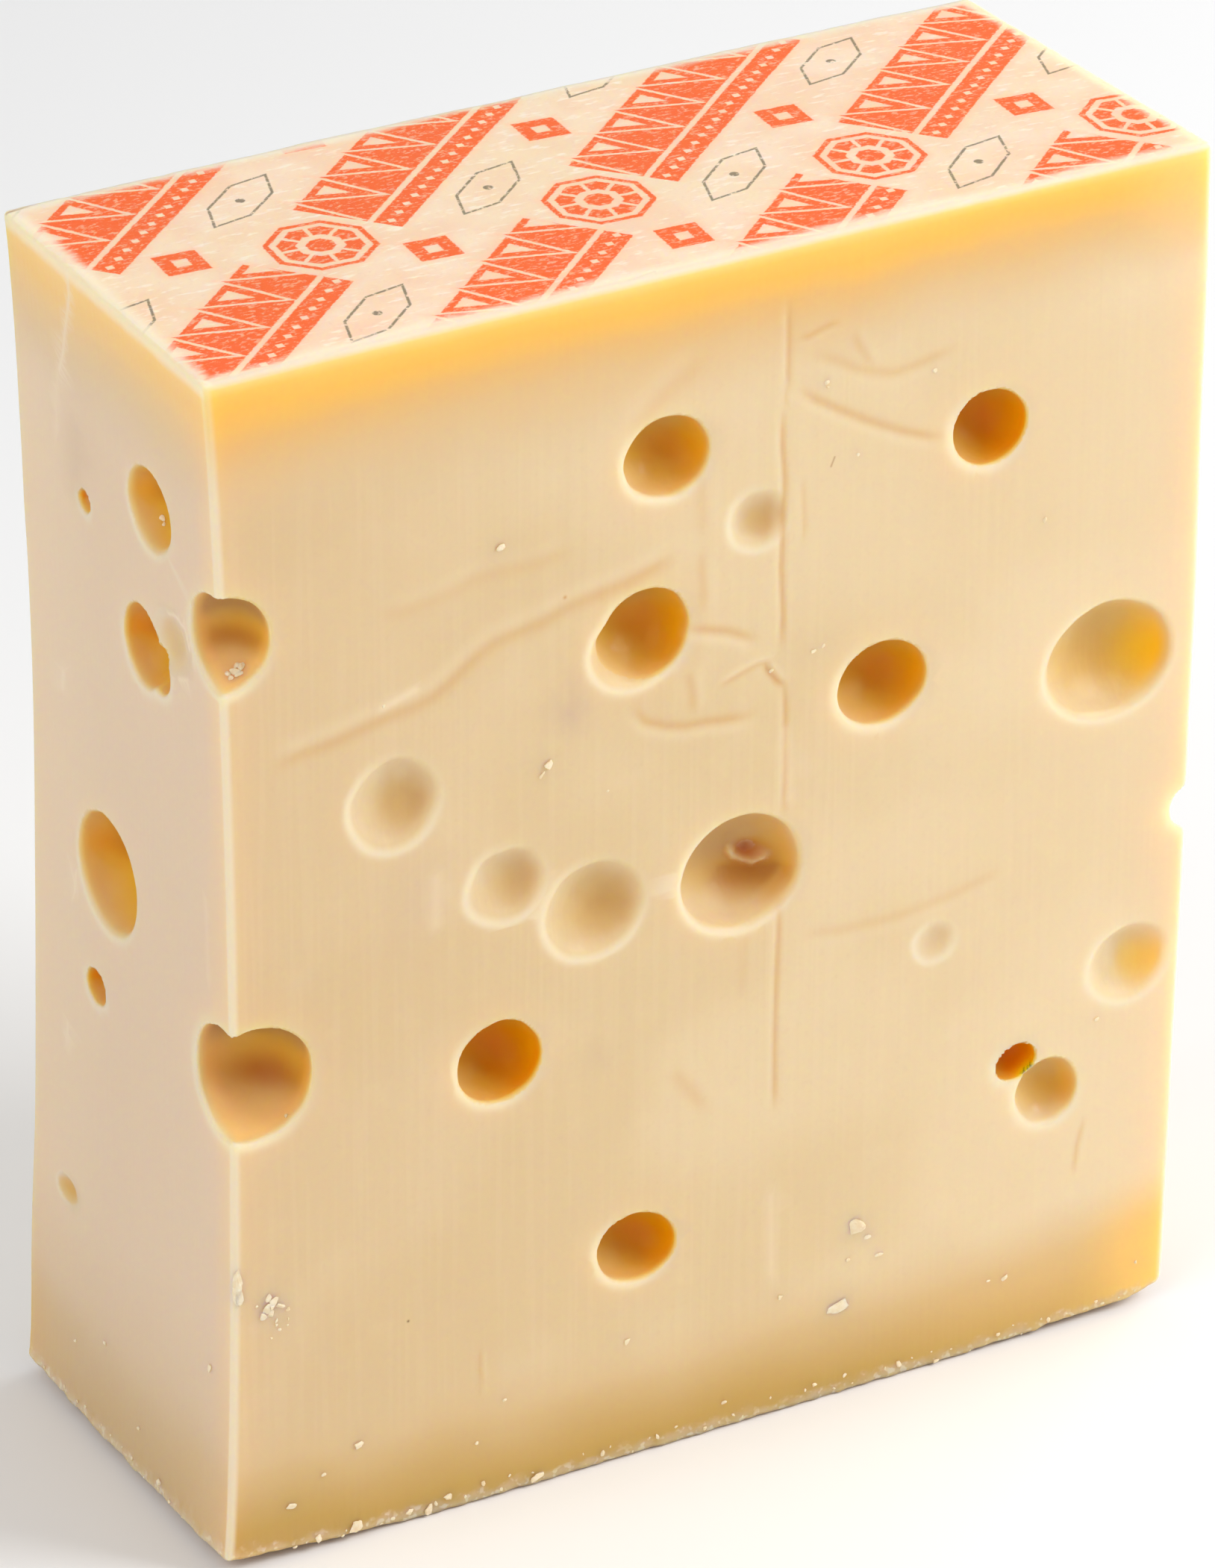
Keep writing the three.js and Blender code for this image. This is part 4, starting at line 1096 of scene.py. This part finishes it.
def rind_print(g, rind, grain):
    """Worn ink on the upper rind: slanting rows of zigzag ribbon over a bar,
    small lozenges and long hexagons between the rows, and ringed octagons in
    the gaps. Lengths are in millimetres."""
    P, X, Y, Z = g.place()
    turn = math.radians(41)
    c, k = math.cos(turn), math.sin(turn)
    scratch = g.noise(0.62, 2, 0.7, at=g.vector(X * 0.45, Y, Z))
    u = X * c + Y * k
    v = Y * c - X * k + 3.0
    pitch = 33.0
    row = g.floor(v / pitch + 0.5)
    vv = v - row * pitch
    uu = u + row * 29.0
    um = g.wrap(uu, 78.0)

    # zigzag ribbon: leaning teeth on a straight foot, with hollow ones between
    tooth, high = 9.67, 12.4
    lean = uu + vv * 0.22
    du = g.bounce(lean, tooth / 2)
    slope = high / (tooth / 2)
    rise = (vv + 2.4 - du * slope) * (1 / math.hypot(1, slope))
    teeth = g.most(rise, -2.4 - vv)
    between = g.most(0.62 - rise, vv - 9.4)
    hollow = g.most(2.15 - rise, vv - 8.2)
    between = g.most(between, -hollow)
    bar = g.size(vv + 5.7) - 2.3
    pips = 0.8 - (g.size(g.wrap(uu, 3.2) - 1.6) + g.size(vv + 5.7))
    bar = g.most(bar, pips)
    band = g.least(g.least(teeth, between), bar)
    band = g.most(band, g.size(um - 29.0) - 29.0)

    # ringed octagon in each gap
    ox, oy = g.size(um - 68.0), g.size(vv - 1.0)
    octagon = g.most(g.most(ox, oy), (ox + oy) * 0.7071)
    notch = 0.35 - g.least(g.least(ox, oy), g.size(ox - oy) * 0.7071)
    ring = g.least(g.size(octagon - 7.6) - 0.45, g.most(g.size(octagon - 4.8) - 1.3, notch))
    ring = g.least(ring, octagon - 2.1)

    # between the rows: lozenges and long hexagons in turn
    vs = v - 1.5
    row2 = g.floor(vs / pitch)
    vv2 = vs - (row2 + 0.5) * pitch
    um2 = g.wrap(u + row2 * 17.0, 46.0)
    lx, ly = g.size(um2 - 11.5), g.size(vv2)
    lozenge = (lx + ly - 4.9) * 0.7071
    lozenge = g.most(lozenge, 0.55 - g.most(lx, ly))
    lozenge = g.most(lozenge, (1.7 - lx - ly) * 0.7071)
    hx, hy = g.size(um2 - 34.5), ly
    hexagon = g.most(hy - 3.4, (hx * 0.60 + hy - 6.0) * 0.857)
    line = g.size(hexagon) - 0.22
    dots = g.root((g.bounce(um2 - 34.5, 3.4) ** 2.0) + hy ** 2.0) - 0.75
    dots = g.most(dots, hx - 4.6)
    line = g.least(line, dots)

    ragged = (scratch - 0.5) * 0.7
    ink = g.least(g.least(band, ring), lozenge) + ragged
    # worn off in short scratches and specks
    solid = g.step(0.12, -0.12, ink)
    worn = g.step(0.30, 0.50, scratch + (grain - 0.5) * 0.5)
    halo = g.step(1.7, -0.2, ink)
    rind = g.mix(rind, srgb(255, 196, 160), halo * 0.5)
    rind = g.mix(rind, srgb(255, 100, 32), solid * (worn * 0.50 + 0.46))
    grey = g.step(0.12, -0.12, line + ragged * 0.3) * g.step(0.30, 0.50, grain)
    rind = g.mix(rind, srgb(118, 108, 82), grey * 0.85)
    return rind


def crumb_material():
    """Dry, pale flakes of the same paste."""
    g = Graph("cheese_crumb")
    P, X, Y, Z = g.place()
    b = g.bsdf
    tone = g.mix(srgb(242, 225, 194), srgb(234, 211, 172), g.step(0.35, 0.7, g.noise(1.6, 2, 0.6)))
    tone = g.mix(tone, srgb(248, 238, 220), g.step(0.55, 0.75, g.noise(0.5, 1, 0.6)) * 0.5)
    bump = g.node("ShaderNodeBump")
    bump.inputs["Strength"].default_value = 1.0
    bump.inputs["Distance"].default_value = MM
    g.feed(bump.inputs["Height"], g.noise(0.4, 1, 0.6) * 0.04)
    g.tree.links.new(bump.outputs[0], b.inputs["Normal"])
    g.feed(b.inputs["Base Color"], tone)
    g.feed(b.inputs["Roughness"], 0.5 + (g.noise(0.8, 2, 0.5) - 0.5) * 0.2)
    b.inputs["Specular IOR Level"].default_value = 0.25
    b.inputs["Subsurface Weight"].default_value = 0.35
    b.inputs["Subsurface Radius"].default_value = (1.0, 0.75, 0.35)
    b.inputs["Subsurface Scale"].default_value = 0.0004
    return g.material


paste_material = cheese_material("cheese_paste", False)
rind_material = cheese_material("cheese_rind", True)
cheese.data.materials.clear()
cheese.data.materials.append(paste_material)
cheese.data.materials.append(rind_material)
on_top = marks["rind_top"] > 0
corners = np.empty(len(cheese.data.loops), np.int32)
cheese.data.loops.foreach_get("vertex_index", corners)
starts = np.empty(len(cheese.data.polygons), np.int32)
cheese.data.polygons.foreach_get("loop_start", starts)
cheese.data.polygons.foreach_set("material_index", np.maximum.reduceat(on_top[corners].astype(np.int32), starts))

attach(cheese, "root")
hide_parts("cheese_block")


# =============================================================================
# Crumbs and flakes that cling to the cut faces
# =============================================================================
VIEW_FROM = np.array([-477.755 - 85.0 + SHIFT_X, -959.714 - 34.25 + SHIFT_Y, 705.097 + DATUM])


def landing(side, s, h):
    """The point of the cheese seen through a place on the plane of a face."""
    if side == "front":
        start = np.array([s - WIDTH / 2 + SHIFT_X, -DEPTH / 2 + SHIFT_Y, h + DATUM])
    else:
        start = np.array([-WIDTH / 2 + SHIFT_X, s - DEPTH / 2 + SHIFT_Y, h + DATUM])
    way = start - VIEW_FROM
    way /= np.linalg.norm(way)
    t = np.arange(-8, 24, 0.05)
    d = field(start + t[:, None] * way)
    k = np.nonzero(d < 0)[0]
    if not len(k):
        return None
    p = start + t[k[0]] * way
    n = gradient(p[None])[0]
    return p, n / np.linalg.norm(n)


CRUMBS = [  # face, place, height, length, width, thickness, turn in degrees
    ("front", 47.9, 162.8, 1.5, 1.1, 0.6, 20), ("front", 55.9, 124.5, 1.7, 1.3, 0.7, 60), ("front", 54.9, 123.1, 1.2, 0.7, 0.5, 60),
    ("front", 108.9, 14.2, 4.3, 2.3, 0.35, 8), ("front", 111.6, 28.0, 3.2, 2.2, 0.5, 10), ("front", 113.9, 25.4, 1.2, 0.8, 0.4, 0),
    ("front", 139.9, 10.4, 1.4, 0.7, 0.5, 40), ("front", 136.8, 10.6, 0.8, 0.5, 0.4, 20), ("front", 110.3, 22.2, 0.9, 0.7, 0.4, 0),
    ("front", 116.1, 21.6, 1.5, 0.6, 0.3, 5), ("front", 22.8, 14.7, 1.8, 1.1, 0.6, 25), ("front", 22.2, -0.3, 2.6, 1.8, 1.0, 30),
    ("front", 15.7, -0.3, 1.4, 1.1, 0.7, 60), ("front", 35.1, -0.9, 1.8, 1.2, 0.8, 70), ("front", 38.5, 0.3, 1.4, 1.2, 0.7, 0),
    ("front", 31.8, -0.4, 1.5, 1.0, 0.6, 10), ("front", 54.3, -0.9, 2.4, 1.3, 0.8, 20), ("front", 11.1, 7.1, 1.7, 1.0, 0.4, 0),
    ("front", 16.8, 11.1, 0.8, 0.6, 0.4, 0), ("front", 48.5, 15.0, 0.8, 0.6, 0.4, 0), ("front", 43.6, 8.6, 0.7, 0.6, 0.4, 0),
    ("front", 103.3, 176.9, 0.9, 0.8, 0.4, 0), ("front", 103.5, 176.1, 0.5, 0.4, 0.3, 0), ("front", 122.1, 174.6, 0.9, 0.7, 0.3, 0),
    ("front", 109.0, 163.7, 0.8, 0.7, 0.3, 0), ("front", 142.7, 144.9, 1.1, 0.8, 0.4, 70), ("front", 155.6, 53.6, 1.0, 0.7, 0.4, 0),
    ("front", 98.0, 19.0, 1.0, 0.8, 0.4, 20), ("front", 70.4, 19.1, 1.2, 0.9, 0.5, 30), ("front", 88.0, 2.5, 1.0, 0.7, 0.5, 20),
    ("front", 2.7, 48.9, 6.4, 1.5, 0.35, 88), ("front", 2.9, 47.4, 3.0, 1.3, 0.35, 95), ("front", 164.9, 5.9, 0.7, 0.6, 0.4, 0),
    ("front", 94.5, 130.9, 1.0, 0.5, 0.4, 50), ("front", 101.8, 132.3, 1.0, 0.6, 0.3, 10), ("front", 103.6, 132.8, 0.8, 0.5, 0.3, 70),
    ("front", 28.3, 141.3, 0.7, 0.5, 0.3, 30), ("front", 66.2, 117.5, 0.5, 0.4, 0.3, 0), ("front", 11.1, 42.7, 0.8, 0.7, 0.35, 0),
    ("front", 7.9, 45.6, 1.5, 1.0, 0.35, 70), ("front", 8.7, 44.6, 1.7, 1.1, 0.40, 30), ("front", 9.8, 43.6, 1.7, 0.8, 0.35, 160),
    ("front", 7.6, 43.6, 1.8, 1.2, 0.35, 60), ("front", 7.0, 42.5, 1.4, 1.2, 0.30, 20), ("front", 8.2, 42.6, 1.3, 0.9, 0.35, 80),
    ("front", 8.4, 43.9, 1.4, 1.0, 0.40, 10), ("front", 9.1, 41.2, 0.9, 0.5, 0.30, 80), ("front", 9.1, 40.4, 0.6, 0.5, 0.30, 0),
    ("front", 9.6, 39.4, 0.6, 0.5, 0.30, 0), ("front", 8.2, 38.3, 0.5, 0.4, 0.30, 0), ("front", 11.1, 40.9, 0.6, 0.4, 0.30, 80),
    ("front", 5.8, 44.6, 0.6, 0.5, 0.30, 0), ("front", 11.0, 39.8, 0.5, 0.4, 0.30, 0),
    ("front", 3.9, 153.0, 1.9, 1.3, 0.8, 15), ("front", 4.6, 152.4, 1.2, 0.9, 0.6, 50), ("front", 2.9, 153.0, 1.0, 0.8, 0.6, 0),
    ("front", 5.0, 153.5, 1.3, 0.9, 0.7, 80), ("front", 3.3, 152.2, 1.1, 0.9, 0.6, 30), ("front", 4.3, 153.9, 1.1, 0.8, 0.6, 45),
    ("front", 11.3, 76.4, 0.9, 0.7, 0.5, 0),
    ("left", 14.6, 172.4, 1.1, 0.9, 0.6, 20), ("left", 14.2, 171.7, 0.7, 0.6, 0.4, 0), ("left", 4.5, 33.0, 1.6, 0.8, 0.5, 80),
    ("left", 41.3, 17.4, 1.0, 0.7, 0.4, 0), ("left", 30.0, 8.0, 0.8, 0.6, 0.4, 0), ("left", 52.0, 12.0, 0.9, 0.6, 0.4, 30),
    ("left", 23.0, 2.0, 1.3, 0.9, 0.6, 40),
]


def make_crumbs():
    rng = np.random.default_rng(7)
    # the cuts below take about a quarter off their length and width
    wanted = [(side, s, h, 1.18 * length, 1.18 * width, thick, turn) for side, s, h, length, width, thick, turn in CRUMBS]
    # a sprinkling along the crumbly lower edge
    for s in np.arange(6, 166, 2.6):
        if rng.random() < 0.8:
            size = 0.5 + 0.9 * rng.random() ** 2
            wanted.append(("front", s + rng.uniform(-1, 1), rng.uniform(-1.6, 0.9), size, size * 0.7, size * 0.45, rng.uniform(0, 180)))
    for s in np.arange(4, 66, 4.0):
        size = 0.5 + 0.6 * rng.random() ** 2
        wanted.append(("left", s + rng.uniform(-1, 1), rng.uniform(-0.4, 1.6), size, size * 0.7, size * 0.45, rng.uniform(0, 180)))
    bm = bmesh.new()
    made = 0
    for side, s, h, length, width, thick, turn in wanted:
        hit = landing(side, s, h)
        if hit is None:
            continue
        p, n = hit
        detail = 3 if length > 1.3 else 2
        part = bmesh.ops.create_icosphere(bm, subdivisions=detail, radius=1.0)["verts"]
        v = np.array([x.co[:] for x in part])
        # broken faces: the ball is cut by a few planes
        for _ in range(9):
            a = rng.normal(size=3); a /= np.linalg.norm(a)
            over = v @ a - rng.uniform(0.45, 0.85)
            v -= np.clip(over, 0, None)[:, None] * a
        v *= 1 + 0.05 * rng.normal(size=(len(v), 1))
        v *= np.array([length, width, thick]) / 2
        z = n
        x = np.cross((0, 0, 1), z) if abs(z[2]) < 0.9 else np.array([1.0, 0, 0])
        x /= np.linalg.norm(x)
        y = np.cross(z, x)
        c, k = math.cos(math.radians(turn)), math.sin(math.radians(turn))
        world = p + z * thick * 0.16 + v @ np.array([x * c + y * k, -x * k + y * c, z])
        for vert, w in zip(part, world):
            vert.co = w * MM
        made += 1
    me = bpy.data.meshes.new("cheese_crumbs")
    bm.normal_update()
    bm.to_mesh(me)
    bm.free()
    ob = bpy.data.objects.new("cheese_crumbs", me)
    bpy.context.scene.collection.objects.link(ob)
    me.materials.append(crumb_material())
    print("crumbs", made, "faces", len(me.polygons))
    return ob


crumbs = make_crumbs()
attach(crumbs, "root")


# =============================================================================
# Floor, light, camera
# =============================================================================
def area(name, at, look, size, power, color=(1, 1, 1)):
    light = bpy.data.lights.new(name, "AREA")
    light.shape = "RECTANGLE"
    light.size, light.size_y = size
    light.energy = power
    light.color = color
    ob = bpy.data.objects.new(name, light)
    at, look = np.array(at, float), np.array(look, float)
    back = at - look
    back /= np.linalg.norm(back)
    right = np.cross((0, 0, 1), back)
    right /= np.linalg.norm(right)
    up = np.cross(back, right)
    m = Matrix([[right[0], up[0], back[0], at[0]], [right[1], up[1], back[1], at[1]], [right[2], up[2], back[2], at[2]], [0, 0, 0, 1]])
    ob.matrix_world = m
    bpy.context.scene.collection.objects.link(ob)
    return ob


bpy.ops.mesh.primitive_plane_add(size=6, location=(0, 0, -0.0002))
floor = bpy.context.object
floor.name = "floor"
fm = bpy.data.materials.new("floor_white")
fm.use_nodes = True
fb = fm.node_tree.nodes["Principled BSDF"]
fb.inputs["Base Color"].default_value = (0.90, 0.90, 0.90, 1)
fb.inputs["Roughness"].default_value = 0.8
floor.data.materials.append(fm)

world = bpy.data.worlds.new("studio")
bpy.context.scene.world = world
world.use_nodes = True
world.node_tree.nodes["Background"].inputs["Color"].default_value = (1, 1, 1, 1)
world.node_tree.nodes["Background"].inputs["Strength"].default_value = 0.49

area("key", (0.80, -0.65, 0.85), (0, 0, 0.1), (0.55, 0.55), 10.5)
area("right", (1.1, 0.35, 0.55), (0, 0, 0.1), (0.7, 0.7), 4.5)
area("left", (-0.9, -0.25, 0.75), (0, 0, 0.1), (0.9, 0.9), 4.4)

cam_data = bpy.data.cameras.new("camera")
cam = bpy.data.objects.new("camera", cam_data)
bpy.context.scene.collection.objects.link(cam)
AZ, EL, ROLL = -0.5156409987465012, 0.4886081754829057, 0.006507214619681177
back = np.array([math.sin(AZ) * math.cos(EL), -math.cos(AZ) * math.cos(EL), math.sin(EL)])
right0 = np.cross(-back, (0, 0, 1)); right0 /= np.linalg.norm(right0)
up0 = np.cross(right0, -back)
right = right0 * math.cos(ROLL) + up0 * math.sin(ROLL)
up = -right0 * math.sin(ROLL) + up0 * math.cos(ROLL)
eye_at = VIEW_FROM * MM
cam.matrix_world = Matrix([
    [right[0], up[0], back[0], eye_at[0]],
    [right[1], up[1], back[1], eye_at[1]],
    [right[2], up[2], back[2], eye_at[2]],
    [0, 0, 0, 1],
])
cam_data.sensor_width = 36
cam_data.lens = 11144.26 * 36 / 2101
cam_data.clip_start, cam_data.clip_end = 0.05, 20
bpy.context.scene.camera = cam
bpy.context.scene.view_settings.view_transform = "Standard"

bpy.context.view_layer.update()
print("scene built in %.1f s" % (time.perf_counter() - T0))
